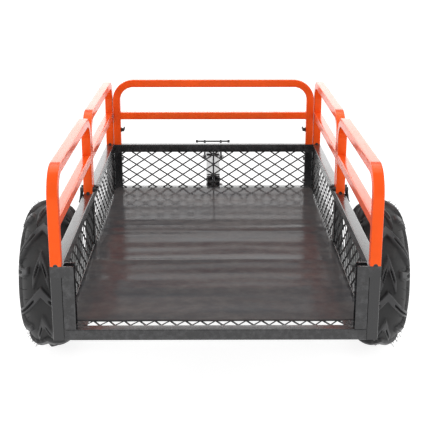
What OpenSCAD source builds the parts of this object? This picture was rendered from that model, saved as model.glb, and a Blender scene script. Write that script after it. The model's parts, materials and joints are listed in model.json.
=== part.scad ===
// Tow-behind mesh dump cart: a steel tube bed with expanded-metal walls and lift-off guard rails,
// tilting on a two-wheel undercarriage with a drawbar. +Y is the towing direction, +Z is up.
// The origin is on the ground, at the middle of the whole cart's length and width.

/* [Bed] */
// Outside width of the bed
bed_w = 832; // [690:2:1000]
// Outside length of the bed
bed_l = 1400; // [1150:10:1700]
// Height of the bed, from the underside of its floor frame to the top of its walls
bed_h = 201; // [160:1:280]

/* [Frame tube] */
// Outside size of the square frame tube
tube = 30; // [25:1:38]
// Wall of the frame tube
tube_wall = 1.5; // [1.2:0.1:3]
// Outside corner radius of the frame tube
tube_corner = 3; // [1.5:0.5:4]
// How far a welded post stands inside the faces of its rails
weld_step = 0.4; // [0.2:0.1:1]
// Width of the two stringers under the floor
stringer_w = 20; // [15:1:30]
// Distance of a stringer's centre from the cart's centre line
stringer_x = 120; // [80:5:200]
// How far a stringer stands inside the top and bottom of the cross members
stringer_step = 2; // [1:0.5:4]

/* [Expanded mesh] */
// Long pitch of the mesh's diamonds
cell_long = 60; // [45:1:80]
// Short pitch of the mesh's diamonds
cell_short = 40; // [30:1:50]
// Width of a strand
strand = 4; // [3:0.5:6]
// Thickness of the mesh sheet
mesh_t = 2; // [1.5:0.5:3]
// Plain border that closes the cut cells
mesh_border = 2; // [1:0.5:4]
// Distance of the wall mesh from its tubes' middle, towards the inside of the bed
mesh_in = 10; // [8.6:0.2:11]

/* [Floor mat] */
// Thickness of the mat
mat_t = 4; // [3:0.5:6]
// Strip of bare floor mesh left behind the mat's rear edge
mat_setback = 30; // [20:1:60]
// Gap along the mat's front and side edges
mat_gap = 1; // [0.5:0.5:5]
// Diameter of the upright stay rod behind the front mesh
stay_d = 6; // [5:1:8]

/* [Tailgate channels] */
// Depth of each channel across the bed
channel_w = 30; // [24:1:40]
// Gap between the channel's flanges, which takes the tailgate
channel_gap = 27; // [20:1:32]
// Thickness of the channel's sheet
channel_t = 3; // [2:0.5:4]
// Size of the corner gusset across the bed
gusset_w = 55; // [40:1:80]

/* [Guard rails] */
// Height of the guard rails above the walls
rail_h = 251; // [200:1:350]
// Outside size of the guard rails' square tube
rail_tube = 28; // [24:1:32]
// Centre-line radius of the guard rails' bends
rail_bend = 66; // [45:1:90]
// Height of the middle bar's centre above the walls
mid_bar_h = 112; // [90:1:150]
// Gap between neighbouring guard rails
rail_gap = 1.5; // [1:0.5:4]
// Height of the spigots that the legs drop over
spigot_h = 70; // [50:1:85]
// Clearance between a spigot and the inside of a leg, on each side
spigot_gap = 0.5; // [0.3:0.1:1]
// Radius of the half-round drain notch at the foot of a side rail's leg
notch_r = 6; // [4:1:8]
// Thread diameter of the clamp screws
clamp_d = 8; // [6:1:10]
// Height of the wing screws on the front rail above the walls
wing_z = 56; // [40:1:62]
// Height of the lever screws on the side rails above the walls
lever_z = 10; // [9:1:20]

/* [Wheels] */
// Outside diameter of the tyres
tyre_d = 482; // [400:2:580]
// Width of the tyres
tyre_w = 156; // [130:2:190]
// Gap between the bed's side and the tyre
tyre_gap = 36; // [30:1:80]
// Seat diameter of the rims
rim_d = 203; // [190:1:220]
// Width between the rims' flanges
rim_w = 124; // [100:2:128]
// Width of the flat crown of the tread
crown_w = 20; // [10:1:40]
// Diameter of the axle shaft
axle_d = 20; // [16:1:25]
// Length of the hubs
hub_l = 100; // [80:1:120]
// Outside diameter of the hubs
hub_d = 44; // [40:1:50]
// Outside diameter of the bearings
bearing_d = 35; // [32:1:38]
// Width of the bearings
bearing_w = 11; // [9:1:14]

/* [Undercarriage] */
// Outside size of the square axle beam
axle_beam_w = 40; // [34:1:50]
// Width of the drawbar's tube
drawbar_w = 60; // [44:1:70]
// Height of the drawbar's tube
drawbar_h = 40; // [34:1:50]
// Wall of the axle beam and the drawbar
beam_wall = 3; // [2.5:0.5:4]
// Reach of the drawbar's tube ahead of the bed
drawbar_reach = 700; // [500:10:900]
// Distance of the tilt pivot behind the axle
pivot_setback = 150; // [100:5:220]
// Diameter of the tilt pivot bolt
pivot_d = 16; // [12:1:18]
// Thickness of the saddle plate on the axle beam
saddle_t = 8; // [6:1:12]
// Thickness of the welded pad between the saddle plate and the drawbar
saddle_pad_t = 9; // [6:1:14]
// Diameter of the saddle's U-bolts
u_bolt_d = 10; // [8:1:12]
// Distance of the bed rests from the cart's centre line
rest_x = 300; // [200:5:330]

/* [Latch] */
// Distance of the latch's pin ahead of the bed
latch_ahead = 60; // [55:1:80]
// Width of the latch plate
latch_w = 50; // [40:1:56]
// Height of the latch plate's top above the drawbar
latch_h = 60; // [55:1:80]
// Diameter of the latch's pin
latch_pin_d = 8; // [6:1:10]

/* [Pull handle] */
// Distance of the handle's bolt behind the drawbar's end
handle_inset = 20; // [16:1:60]
// Distance from the handle's bolt to the middle of its crossbar
handle_reach = 133; // [110:1:200]
// Length of the handle's crossbar
handle_w = 158; // [130:1:200]
// Angle of the handle above level
handle_rise = 20.6; // [0:0.1:40]
// Diameter of the handle's two arms
handle_rod_d = 10; // [8:1:12]
// Diameter of the handle's crossbar
crossbar_d = 8; // [5:0.5:9]
// Diameter of the rubber caps on the crossbar's ends
cap_d = 13; // [10:1:20]
// Length of the rubber caps
cap_l = 11; // [9:1:16]
// Diameter of the handle's bolt
handle_bolt_d = 10; // [8:1:12]

/* [Hitch] */
// Diameter of the hitch pin hole
hitch_hole_d = 13.5; // [10:0.5:20]
// Thickness of the clevis plates
clevis_t = 6; // [5:1:10]
// Length of the clevis plates
clevis_l = 120; // [100:5:160]
// Reach of the clevis plates ahead of the drawbar's end
clevis_ahead = 60; // [50:2:80]
// Distance of the hitch pin behind the plates' front end
pin_inset = 18; // [15:1:24]

/* [Hidden] */
$fn = 48;

BLACK = "#2a2a2d";
ORANGE = "#e8562a";
ZINC = "#b9bcc0";
RUBBER = "#303032";
MAT = "#5c5a5d";
RIM = "#c9cac8";

// Clearances that the fits share
run_gap = 0.05;   // around a pin or shaft that turns, each side
face_gap = 0.3;   // between faces that move past each other

// Heights, from the ground up
wheel_r = tyre_d / 2;
beam_top = wheel_r + axle_beam_w / 2;
drawbar_z = beam_top + saddle_t + saddle_pad_t;
bed_z = drawbar_z + drawbar_h;
wall_z = bed_z + bed_h;
floor_z = bed_z + tube;
mesh_z = floor_z - mat_t - mesh_t;
pivot_z = drawbar_z + drawbar_h / 2;

// Places along the cart
handle_ahead = drawbar_reach - handle_inset + handle_reach * cos(handle_rise) + cap_d / 2;
axle_y = -handle_ahead / 2;
rear_y = axle_y - bed_l / 2;
front_y = axle_y + bed_l / 2;
pivot_y = axle_y - pivot_setback;
handle_y = front_y + drawbar_reach - handle_inset;
drawbar_end = front_y + drawbar_reach;
latch_y = front_y + latch_ahead;
cross_ys = [axle_y - 0.3 * bed_l, pivot_y, axle_y, axle_y + 0.17 * bed_l, axle_y + 0.34 * bed_l];

// Places across the cart
track = bed_w + 2 * tyre_gap + tyre_w;
shoulder_r = (tyre_w - crown_w) / 2;
side_x = bed_w / 2;
inner_x = side_x - tube;
rail_x = side_x - tube / 2;
spigot_w = rail_tube - 2 * tube_wall - 2 * spigot_gap;

// ---------- shared shapes ----------

// Outline of a tube with round corners
module outline(a, b, r) {
    square([a - 2 * r, b], center = true);
    square([a, b - 2 * r], center = true);
    for (i = [-1, 1], j = [-1, 1]) translate([i * (a / 2 - r), j * (b / 2 - r)]) circle(r);
}

// Turns local +Z to the row axis 0, 1 or 2, and keeps the order of the other two
module along(axis) {
    rotate(axis == 0 ? [90, 0, 90] : axis == 1 ? [-90, -90, 0] : [0, 0, 0]) children();
}

// Bar between two corners, rounded along its length
module bar(lo, hi, axis, r = tube_corner) {
    s = hi - lo;
    translate((hi + lo) / 2) along(axis)
        linear_extrude(s[axis], center = true) outline(s[(axis + 1) % 3], s[(axis + 2) % 3], r);
}

// Plain block between two corners
module block(lo, hi) {
    translate(lo) cube(hi - lo);
}

// Hollow of a bar between two corners, as deep as each end's own wall
module bore_of(lo, hi, axis, wall, end_lo, end_hi) {
    in_lo = [for (k = [0:2]) lo[k] + (k == axis ? end_lo : wall)];
    in_hi = [for (k = [0:2]) hi[k] - (k == axis ? end_hi : wall)];
    block(in_lo, in_hi);
}

// Cylinder along X, centred on a point
module rod_x(at, r, len) {
    translate(at) rotate([0, 90, 0]) cylinder(r = r, h = len, center = true);
}

// Round rod between two points
module rod(p, q, r) {
    v = q - p;
    translate(p) rotate([0, acos(v[2] / norm(v)), atan2(v[1], v[0])]) cylinder(r = r, h = norm(v));
}

// Hexagon across flats w along X, centred on a point
module hex_x(at, w, len) {
    translate(at) rotate([0, 90, 0]) cylinder(r = w / sqrt(3), h = len, center = true, $fn = 6);
}

module on_side(side) {
    if (side < 0) mirror([1, 0, 0]) children();
    else children();
}

// ---------- expanded mesh ----------

function crossing(a, b, k, limit) = a + (b - a) * (limit - a[k]) / (b[k] - a[k]);
function clipped(poly, k, s, limit) = [
    for (i = [0:len(poly) - 1])
        let (a = poly[i], b = poly[(i + 1) % len(poly)])
        let (a_in = s * a[k] < s * limit, b_in = s * b[k] < s * limit)
        each concat(a_in ? [a] : [], a_in != b_in ? [crossing(a, b, k, limit)] : [])
];
function boxed(poly, w, h) = let (
    p1 = clipped(poly, 0, 1, w), p2 = len(p1) > 2 ? clipped(p1, 0, -1, -w) : [],
    p3 = len(p2) > 2 ? clipped(p2, 1, 1, h) : [], p4 = len(p3) > 2 ? clipped(p3, 1, -1, -h) : []
) p4;
function poly_area(p) = abs(sum_list([
    for (i = [0:len(p) - 1]) let (a = p[i], b = p[(i + 1) % len(p)]) a[0] * b[1] - a[1] * b[0]
])) / 2;
function sum_list(v, i = 0) = i < len(v) ? v[i] + sum_list(v, i + 1) : 0;

// Flat sheet of mesh, w by h, in local XY. The long pitch runs along X.
module mesh_sheet(w, h) {
    flank = norm([cell_long, cell_short]) / 2;
    half_a = cell_long / 2 - strand * flank / cell_short;
    half_b = cell_short / 2 - strand * flank / cell_long;
    least_hole = cell_long * cell_short / 60;
    nx = ceil(w / cell_long) + 1;
    ny = ceil(h / cell_short) + 1;
    linear_extrude(mesh_t, center = true) difference() {
        square([w, h], center = true);
        for (i = [-nx:nx], j = [-ny:ny]) if ((i + j) % 2 == 0) {
            c = [i * cell_long / 2, j * cell_short / 2];
            diamond = [c + [half_a, 0], c + [0, half_b], c - [half_a, 0], c - [0, half_b]];
            hole = boxed(diamond, w / 2 - mesh_border, h / 2 - mesh_border);
            if (len(hole) > 2) if (poly_area(hole) > least_hole) polygon(hole);
        }
    }
}

// ---------- bed ----------

post_in = weld_step + tube_corner;
function post_lo(y) = [inner_x + weld_step, y - tube / 2 + weld_step, bed_z + tube / 2];
function post_hi(y) = [side_x - weld_step, y + tube / 2 - weld_step, wall_z - tube / 2];
post_ys = [rear_y + tube / 2, axle_y, front_y - tube / 2];

// Bolts that join the front panel to the side panels
panel_bolt_zs = [bed_z + tube + 25, wall_z - 60];
panel_bolt_d = 8;
module panel_bolt_holes() {
    for (z = panel_bolt_zs)
        rod_x([rail_x - tube / 2, front_y - tube / 2, z], panel_bolt_d / 2 + run_gap, 2 * tube + 2);
}

// Right-hand side panel: top rail, bottom rail and three posts, welded
module side_frame_shape() {
    top = [[inner_x, rear_y, wall_z - tube], [side_x, front_y, wall_z]];
    bottom = [[inner_x, rear_y + tube - post_in, bed_z], [side_x, front_y, bed_z + tube]];
    rear_lo = [post_lo(post_ys[0])[0], post_lo(post_ys[0])[1], bed_z];
    difference() {
        union() {
            bar(top[0], top[1], 1);
            bar(bottom[0], bottom[1], 1);
            bar(rear_lo, post_hi(post_ys[0]), 2);
            for (k = [1, 2]) bar(post_lo(post_ys[k]), post_hi(post_ys[k]), 2);
        }
        bore_of(top[0], top[1], 1, tube_wall, tube_wall, tube_wall);
        bore_of(bottom[0], bottom[1], 1, tube_wall, 0, tube_wall);
        bore_of(rear_lo, post_hi(post_ys[0]), 2, tube_wall, -1, 0);
        for (k = [1, 2]) bore_of(post_lo(post_ys[k]), post_hi(post_ys[k]), 2, tube_wall, 0, 0);
        panel_bolt_holes();
    }
}
module side_frame_left() color(BLACK) on_side(-1) side_frame_shape();
module side_frame_right() color(BLACK) on_side(1) side_frame_shape();

// Front panel: two rails and two end posts, welded, between the side panels
module front_frame() color(BLACK) {
    y0 = front_y - tube;
    rails = [[wall_z - tube, wall_z], [bed_z, bed_z + tube]];
    p_lo = [inner_x - tube + weld_step, y0 + weld_step, bed_z + tube / 2];
    p_hi = [inner_x - weld_step, front_y - weld_step, wall_z - tube / 2];
    difference() {
        union() {
            for (z = rails) bar([-inner_x, y0, z[0]], [inner_x, front_y, z[1]], 0);
            for (s = [-1, 1]) on_side(s) bar(p_lo, p_hi, 2);
        }
        for (z = rails) bore_of([-inner_x, y0, z[0]], [inner_x, front_y, z[1]], 0, tube_wall, -1, -1);
        for (s = [-1, 1]) on_side(s) {
            bore_of(p_lo, p_hi, 2, tube_wall, 0, 0);
            panel_bolt_holes();
        }
    }
}

// Rear beam and cross members, with stringers from the rearmost cross member forwards
module floor_frame() color(BLACK) {
    beam = [[-inner_x, rear_y, bed_z], [inner_x, rear_y + tube, bed_z + tube]];
    s_lo = [stringer_x - stringer_w / 2, cross_ys[0] + tube / 2 - post_in, bed_z + stringer_step];
    s_hi = [stringer_x + stringer_w / 2, front_y - tube, mesh_z - stringer_step];
    difference() {
        union() {
            bar(beam[0], beam[1], 0);
            for (y = cross_ys)
                bar([-inner_x, y - tube / 2, bed_z], [inner_x, y + tube / 2, mesh_z], 0);
            for (s = [-1, 1]) on_side(s) bar(s_lo, s_hi, 1, 2);
        }
        bore_of(beam[0], beam[1], 0, tube_wall, -1, -1);
        for (y = cross_ys)
            bore_of([-inner_x, y - tube / 2, bed_z], [inner_x, y + tube / 2, mesh_z],
                0, tube_wall, -1, -1);
        for (s = [-1, 1]) on_side(s) bore_of(s_lo, s_hi, 1, tube_wall, 0, -1);
    }
}

// Two bays of wall mesh, one each side of the middle post
module side_mesh_shape() {
    bay = (bed_l - 3 * tube) / 2;
    for (s = [-1, 1])
        translate([rail_x - mesh_in, axle_y + s * (bay + tube) / 2, (bed_z + wall_z) / 2])
            rotate([90, 0, 90]) mesh_sheet(bay, bed_h - 2 * tube);
}
module side_mesh_left() color(BLACK) on_side(-1) side_mesh_shape();
module side_mesh_right() color(BLACK) on_side(1) side_mesh_shape();

module front_mesh() color(BLACK)
    translate([0, front_y - tube / 2 - mesh_in, (bed_z + wall_z) / 2])
        rotate([90, 0, 0]) mesh_sheet(2 * (inner_x - tube), bed_h - 2 * tube);

// Floor mesh, with its long pitch along the bed
module floor_mesh() color(BLACK)
    translate([0, axle_y, mesh_z + mesh_t / 2])
        rotate([0, 0, 90]) mesh_sheet(bed_l - 2 * tube, 2 * inner_x);

// Rubber mat laid on the floor mesh
module floor_mat() color(MAT) block(
    [-inner_x + mat_gap, rear_y + tube + mat_setback, mesh_z + mesh_t],
    [inner_x - mat_gap, front_y - tube - stay_d - mat_gap, floor_z]
);

// Upright rod that stays the front mesh
module front_stay_rod() color(BLACK)
    translate([0, front_y - tube - stay_d / 2, mesh_z + mesh_t])
        cylinder(d = stay_d, h = wall_z - tube_corner - mesh_z - mesh_t);

// Folded channel that takes the tailgate's end, open to the middle of the bed
module tailgate_channel_shape() {
    far = channel_t + channel_gap;
    translate([inner_x, rear_y, floor_z]) difference() {
        translate([-channel_w, 0, 0]) cube([channel_w, far + channel_t, wall_z - floor_z]);
        translate([-channel_w - 1, channel_t, -1])
            cube([channel_w + 1 - channel_t, channel_gap, wall_z - floor_z + 2]);
    }
}
module tailgate_channel_left() color(BLACK) on_side(-1) tailgate_channel_shape();
module tailgate_channel_right() color(BLACK) on_side(1) tailgate_channel_shape();

// Flat plates at the rear corners of the floor
module corner_gussets() color(BLACK)
    for (s = [-1, 1]) on_side(s) block(
        [inner_x - gusset_w, rear_y + tube, mesh_z + mesh_t],
        [inner_x, rear_y + tube + mat_setback - mat_gap, floor_z]
    );

// Places of the side rails' legs along the bed, rear rail first
leg_in = rail_tube / 2;
side_leg_ys = [
    [rear_y + leg_in, axle_y - rail_gap / 2 - leg_in],
    [axle_y + rail_gap / 2 + leg_in, front_y - leg_in]
];
front_leg_x = rail_x - rail_tube - rail_gap;
front_leg_y = front_y - tube / 2;

// Square tube stubs that the guard rails' legs drop over
module spigot(x, y) {
    lo = [x - spigot_w / 2, y - spigot_w / 2, wall_z];
    hi = [x + spigot_w / 2, y + spigot_w / 2, wall_z + spigot_h];
    difference() {
        bar(lo, hi, 2, tube_corner - tube_wall);
        bore_of(lo, hi, 2, 2, -1, -1);
    }
}
module rail_spigots() color(BLACK)
    for (s = [-1, 1]) {
        spigot(s * front_leg_x, front_leg_y);
        for (pair = side_leg_ys, y = pair) spigot(s * rail_x, y);
    }

// Hexagon bolts with nuts through the panels' front posts
module panel_bolts() color(ZINC)
    for (s = [-1, 1], z = panel_bolt_zs) on_side(s) {
        y = front_y - tube / 2;
        grip_mid = rail_x - tube / 2;
        rod_x([grip_mid, y, z], panel_bolt_d / 2, 2 * tube + 12);
        hex_x([side_x - weld_step + 2.75, y, z], 13, 5.5);
        hex_x([inner_x - tube + weld_step - 3.25, y, z], 13, 6.5);
    }

// Bed's two hinge ears, welded under the hinge cross member
lug_x = 38;
lug_t = 6;
lug_r = 18;
module hinge_lugs() color(BLACK)
    for (s = [-1, 1]) on_side(s) translate([lug_x, pivot_y, pivot_z]) rotate([90, 0, 90])
        linear_extrude(lug_t) difference() {
            union() {
                circle(lug_r);
                translate([-lug_r, 0]) square([2 * lug_r, bed_z - pivot_z]);
            }
            circle(pivot_d / 2 + run_gap);
        }

// Tilt pivot bolt with its head and nut outside the ears
module pivot_bolt() color(ZINC) {
    outer = lug_x + lug_t;
    at = [0, pivot_y, pivot_z];
    rod_x(at, pivot_d / 2, 2 * outer + 40);
    hex_x(at + [outer + 5, 0, 0], 1.5 * pivot_d, 10);
    hex_x(at - [outer + 6.5, 0, 0], 1.5 * pivot_d, 13);
}

// Latch: a lip on the bed, and a sprung plate on the drawbar whose nose turns over it
lip_t = 4;
lip_reach = latch_ahead - 24;   // stops short of the upright plate
lip_z = bed_z + 44;
latch_z = bed_z + 16;           // height of the latch's pin
nose_gap = 9.5;                 // under the nose, above the lip
module latch_striker() color(BLACK) {
    block([-latch_w / 2, front_y, bed_z + 4], [latch_w / 2, front_y + lip_t, lip_z]);
    block([-latch_w / 2, front_y + lip_t, lip_z - lip_t], [latch_w / 2, front_y + lip_reach, lip_z]);
    for (s = [-1, 1]) on_side(s) translate([latch_w / 2 - lip_t, front_y + lip_t, lip_z - lip_t])
        rotate([90, 0, 90]) linear_extrude(lip_t)
            polygon([[0, 0], [lip_reach * 0.6, 0], [0, -lip_reach * 0.7]]);
}

// ---------- undercarriage ----------

sleeve_r = pivot_d / 2 + 7;   // pivot sleeve welded to the drawbar's rear end
module drawbar() color(BLACK) {
    lo = [-drawbar_w / 2, pivot_y + sleeve_r - 4, drawbar_z];
    hi = [drawbar_w / 2, drawbar_end, bed_z];
    difference() {
        union() {
            bar(lo, hi, 1, 5);
            rod_x([0, pivot_y, pivot_z], sleeve_r, 2 * (lug_x - face_gap));
        }
        bore_of(lo, hi, 1, beam_wall, 8, -1);
        rod_x([0, pivot_y, pivot_z], pivot_d / 2 + run_gap, 4 * lug_x);
        rod_x([0, handle_y, pivot_z], handle_bolt_d / 2 + run_gap, drawbar_w + 2);
    }
}

// Two plates welded above and below the drawbar's end, with the hitch pin hole
hitch_y = drawbar_end + clevis_ahead - pin_inset;
module hitch_clevis() color(BLACK)
    for (z = [bed_z, drawbar_z - clevis_t]) translate([0, 0, z]) linear_extrude(clevis_t) difference() {
        union() {
            translate([-drawbar_w / 2, drawbar_end + clevis_ahead - clevis_l])
                square([drawbar_w, clevis_l - drawbar_w / 2]);
            translate([0, drawbar_end + clevis_ahead - drawbar_w / 2]) circle(drawbar_w / 2);
        }
        translate([0, hitch_y]) circle(d = hitch_hole_d);
    }

// Places along the axle, outwards from the cart's centre line
hub_in = track / 2 - hub_l / 2;
hub_out = track / 2 + hub_l / 2;
spacer_l = 20;   // room for a spacer between the beam and the hub
beam_half = hub_in - spacer_l;
washer_t = 3;
cotter_x = hub_out + face_gap + washer_t + 4;
shaft_half = cotter_x + 9;
cotter_d = 4;

module axle_beam() color(BLACK) {
    lo = [-beam_half, axle_y - axle_beam_w / 2, wheel_r - axle_beam_w / 2];
    hi = [beam_half, axle_y + axle_beam_w / 2, beam_top];
    difference() {
        bar(lo, hi, 0, 4);
        bore_of(lo, hi, 0, beam_wall, 10, 10);
        rod_x([0, axle_y, wheel_r], axle_d / 2 + run_gap, 2 * beam_half + 2);
    }
}

module axle_shaft() color(ZINC)
    difference() {
        rod_x([0, axle_y, wheel_r], axle_d / 2, 2 * shaft_half);
        for (s = [-1, 1]) translate([s * cotter_x, axle_y, wheel_r])
            cylinder(r = cotter_d / 2 + run_gap, h = axle_d + 2, center = true);
    }

// Ring along X, centred on the axle
module axle_ring(x, len, r_out, r_in) {
    difference() {
        rod_x([x, axle_y, wheel_r], r_out, len);
        rod_x([x, axle_y, wheel_r], r_in, len + 2);
    }
}
module axle_spacers() color(ZINC)
    for (s = [-1, 1])
        axle_ring(s * (beam_half + hub_in - face_gap) / 2, hub_in - face_gap - beam_half,
            axle_d / 2 + 4, axle_d / 2 + run_gap);

module axle_washers() color(ZINC)
    for (s = [-1, 1])
        axle_ring(s * (hub_out + face_gap + washer_t / 2), washer_t, axle_d / 2 + 7,
            axle_d / 2 + run_gap);

module cotter_pins() color(ZINC)
    for (s = [-1, 1]) translate([s * cotter_x, axle_y, wheel_r]) {
        cylinder(d = cotter_d, h = axle_d + 10, center = true);
        translate([0, 0, axle_d / 2 + 5]) rotate([90, 0, 0]) difference() {
            cylinder(r = 3.5, h = 3, center = true);
            cylinder(r = 1.5, h = 4, center = true);
        }
    }

u_x = 45;
u_y = axle_beam_w / 2 + u_bolt_d / 2 + 1;
u_bend = u_bolt_d / 2 + 1;
u_nut_h = 8;
u_floor = wheel_r - axle_beam_w / 2 - u_bolt_d / 2 - face_gap;
module axle_saddle() color(BLACK) {
    pad_y = axle_beam_w / 2 + 10;
    difference() {
        block([-u_x - 17, axle_y - u_y - 16, beam_top], [u_x + 17, axle_y + u_y + 16, beam_top + saddle_t]);
        for (i = [-1, 1], j = [-1, 1]) translate([i * u_x, axle_y + j * u_y, beam_top - 1])
            cylinder(r = u_bolt_d / 2 + run_gap, h = saddle_t + 2);
    }
    block([-drawbar_w / 2, axle_y - pad_y, beam_top + saddle_t],
        [drawbar_w / 2, axle_y + pad_y, drawbar_z]);
}

// One U-bolt: two legs, two quarter bends and the bar under the beam
module u_bolt() {
    flat = u_y - u_bend;
    leg = beam_top + saddle_t + u_nut_h + 6 - u_floor - u_bend;
    for (s = [-1, 1]) mirror([0, s < 0 ? 1 : 0, 0]) {
        translate([0, u_y, u_floor + u_bend]) cylinder(d = u_bolt_d, h = leg);
        translate([0, flat, u_floor + u_bend]) rotate([0, 90, 0])
            rotate_extrude(angle = 90) translate([u_bend, 0]) circle(d = u_bolt_d);
    }
    translate([0, 0, u_floor]) rotate([90, 0, 0]) cylinder(d = u_bolt_d, h = 2 * flat, center = true);
}
module u_bolts() color(ZINC)
    for (s = [-1, 1]) translate([s * u_x, axle_y, 0]) u_bolt();

module u_bolt_nuts() color(ZINC)
    for (i = [-1, 1], j = [-1, 1]) translate([i * u_x, axle_y + j * u_y, beam_top + saddle_t])
        difference() {
            cylinder(r = 1.7 * u_bolt_d / sqrt(3), h = u_nut_h, $fn = 6);
            translate([0, 0, -1]) cylinder(r = u_bolt_d / 2 + run_gap, h = u_nut_h + 2);
        }

// Box brackets on the axle beam that carry the bed's sides, each with a rubber pad
rest_w = 60;
rest_pad_t = 4;
rest_top = bed_z - face_gap - rest_pad_t;
module bed_rests() color(BLACK)
    for (s = [-1, 1]) on_side(s) difference() {
        bar([rest_x - rest_w / 2, axle_y - axle_beam_w / 2, beam_top],
            [rest_x + rest_w / 2, axle_y + axle_beam_w / 2, rest_top], 2);
        block([rest_x - rest_w / 2 + 4, axle_y - axle_beam_w, beam_top + 4],
            [rest_x + rest_w / 2 - 4, axle_y + axle_beam_w, rest_top - 4]);
    }
module rest_pads() color(RUBBER)
    for (s = [-1, 1]) on_side(s)
        bar([rest_x - rest_w / 2 + 2, axle_y - axle_beam_w / 2 + 2, rest_top],
            [rest_x + rest_w / 2 - 2, axle_y + axle_beam_w / 2 - 2, rest_top + rest_pad_t], 2);

ear_t = 4;
ear_r = 11;
module latch_bracket() color(BLACK) {
    block([-latch_w / 2, latch_y - 22, bed_z], [latch_w / 2, latch_y + 22, bed_z + ear_t]);
    for (s = [-1, 1]) on_side(s) translate([latch_w / 2 - ear_t, latch_y, latch_z])
        rotate([90, 0, 90]) linear_extrude(ear_t) difference() {
            union() {
                circle(ear_r);
                translate([-ear_r, bed_z - latch_z + ear_t / 2])
                    square([2 * ear_r, latch_z - bed_z - ear_t / 2]);
            }
            circle(latch_pin_d / 2 + run_gap);
        }
}

spring_l = 8;
module latch_pin() color(ZINC) {
    at = [0, latch_y, latch_z];
    rod_x(at + [spring_l / 2, 0, 0], latch_pin_d / 2, latch_w + spring_l + 2);
    rod_x(at - [latch_w / 2 + 2, 0, 0], latch_pin_d / 2 + 3, 4);
    rod_x(at + [latch_w / 2 + spring_l + 2.5, 0, 0], latch_pin_d / 2 + 3, 3);
}

// Outer shape of the torsion spring that is wound round the pin's end
module latch_spring() color(ZINC)
    difference() {
        rod_x([latch_w / 2 + spring_l / 2, latch_y, latch_z], latch_pin_d / 2 + 2.6, spring_l - 0.4);
        rod_x([latch_w / 2 + spring_l / 2, latch_y, latch_z], latch_pin_d / 2 + 0.4, spring_l + 2);
    }

// Upright plate on its barrel, with a slot and a nose
lever_t = 5;
module latch_lever() color(BLACK) {
    neck = latch_w - 2 * ear_t - 2 * face_gap;
    top = latch_h - (latch_z - bed_z);
    nose_z = lip_z - latch_z + nose_gap;
    barrel_r = latch_pin_d / 2 + 4;
    translate([0, latch_y, latch_z]) difference() {
        union() {
            rod_x([0, 0, 0], barrel_r, neck);
            block([-neck / 2, -lever_t / 2, 0], [neck / 2, lever_t / 2, ear_r + 4]);
            block([-latch_w / 2, -lever_t / 2, ear_r + 2], [latch_w / 2, lever_t / 2, top]);
            block([-latch_w / 2, -20, nose_z], [latch_w / 2, 0, nose_z + 4]);
        }
        rod_x([0, 0, 0], latch_pin_d / 2 + run_gap, neck + 2);
        block([-3.2, -lever_t, ear_r + 6], [3.2, lever_t, top - 10]);
    }
}

// ---------- pull handle ----------

eye_t = handle_rod_d + 2;
eye_in = drawbar_w / 2 + 2;
module handle_bolt() color(ZINC) {
    at = [0, handle_y, pivot_z];
    outer = eye_in + eye_t + face_gap;
    rod_x(at, handle_bolt_d / 2, 2 * outer + 14);
    hex_x(at + [outer + 3.5, 0, 0], 1.6 * handle_bolt_d, 7);
    hex_x(at - [outer + 4, 0, 0], 1.6 * handle_bolt_d, 8);
    for (s = [-1, 1]) rod_x(at + [s * (drawbar_w / 2 + 0.9), 0, 0], handle_bolt_d, 1.8);
}

// Places the handle's own length along +Y
module at_handle() {
    translate([0, handle_y, pivot_z]) rotate([handle_rise, 0, 0]) children();
}

// Two arms with eyes on the bolt, joined by a thinner crossbar welded through their ends
module handle_loop() color(BLACK) at_handle() {
    eye_x = eye_in + eye_t / 2;
    eye_r = handle_bolt_d / 2 + 6;
    arm_end = handle_reach + crossbar_d / 2 + 1;
    for (s = [-1, 1]) on_side(s) {
        rod([eye_x, eye_r - 2, 0], [eye_x, arm_end, 0], handle_rod_d / 2);
        difference() {
            rod_x([eye_x, 0, 0], eye_r, eye_t);
            rod_x([eye_x, 0, 0], handle_bolt_d / 2 + run_gap, eye_t + 2);
        }
    }
    rod_x([0, handle_reach, 0], crossbar_d / 2, handle_w);
}

// Closed rubber caps pushed over the crossbar's ends
module handle_end_caps() color(RUBBER) at_handle()
    for (s = [-1, 1]) on_side(s) translate([handle_w / 2, handle_reach, 0]) difference() {
        rod_x([2 - cap_l / 2, 0, 0], cap_d / 2, cap_l);
        rod_x([run_gap - cap_l / 2, 0, 0], crossbar_d / 2 + run_gap, cap_l);
    }

// ---------- wheels ----------

// Local +Z points outwards from the cart
module on_axle(side) {
    translate([side * track / 2, axle_y, wheel_r]) rotate([0, side * 90, 0]) children();
}
function arc(c, r, a0, a1, n) = [
    for (i = [0:n]) c + r * [cos(a0 + (a1 - a0) * i / n), sin(a0 + (a1 - a0) * i / n)]
];
function flipped(pts) = [for (i = [len(pts) - 1:-1:0]) [pts[i][0], -pts[i][1]]];

seat_r = rim_d / 2;
flange_h = 12;
tread_t = 16;
side_t = 9;
module tyre(side) color(RUBBER) on_axle(side) {
    bead = rim_w / 2 - face_gap;
    wall_r = seat_r + 0.6 * (wheel_r - shoulder_r - seat_r);   // where the sidewall turns in
    outer = concat(
        arc([wheel_r - shoulder_r, tyre_w / 2 - shoulder_r], shoulder_r, 0, 90, 8),
        [[wall_r, tyre_w / 2], [seat_r + flange_h + 4, bead], [seat_r, bead]]
    );
    inner = concat(
        [[seat_r, bead - 10], [seat_r + flange_h + 6, bead - side_t], [wall_r, tyre_w / 2 - side_t]],
        arc([wheel_r - shoulder_r, tyre_w / 2 - shoulder_r], shoulder_r - tread_t, 90, 0, 6)
    );
    rotate_extrude($fn = 96) polygon(concat(outer, inner, flipped(inner), flipped(outer)));
}

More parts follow.
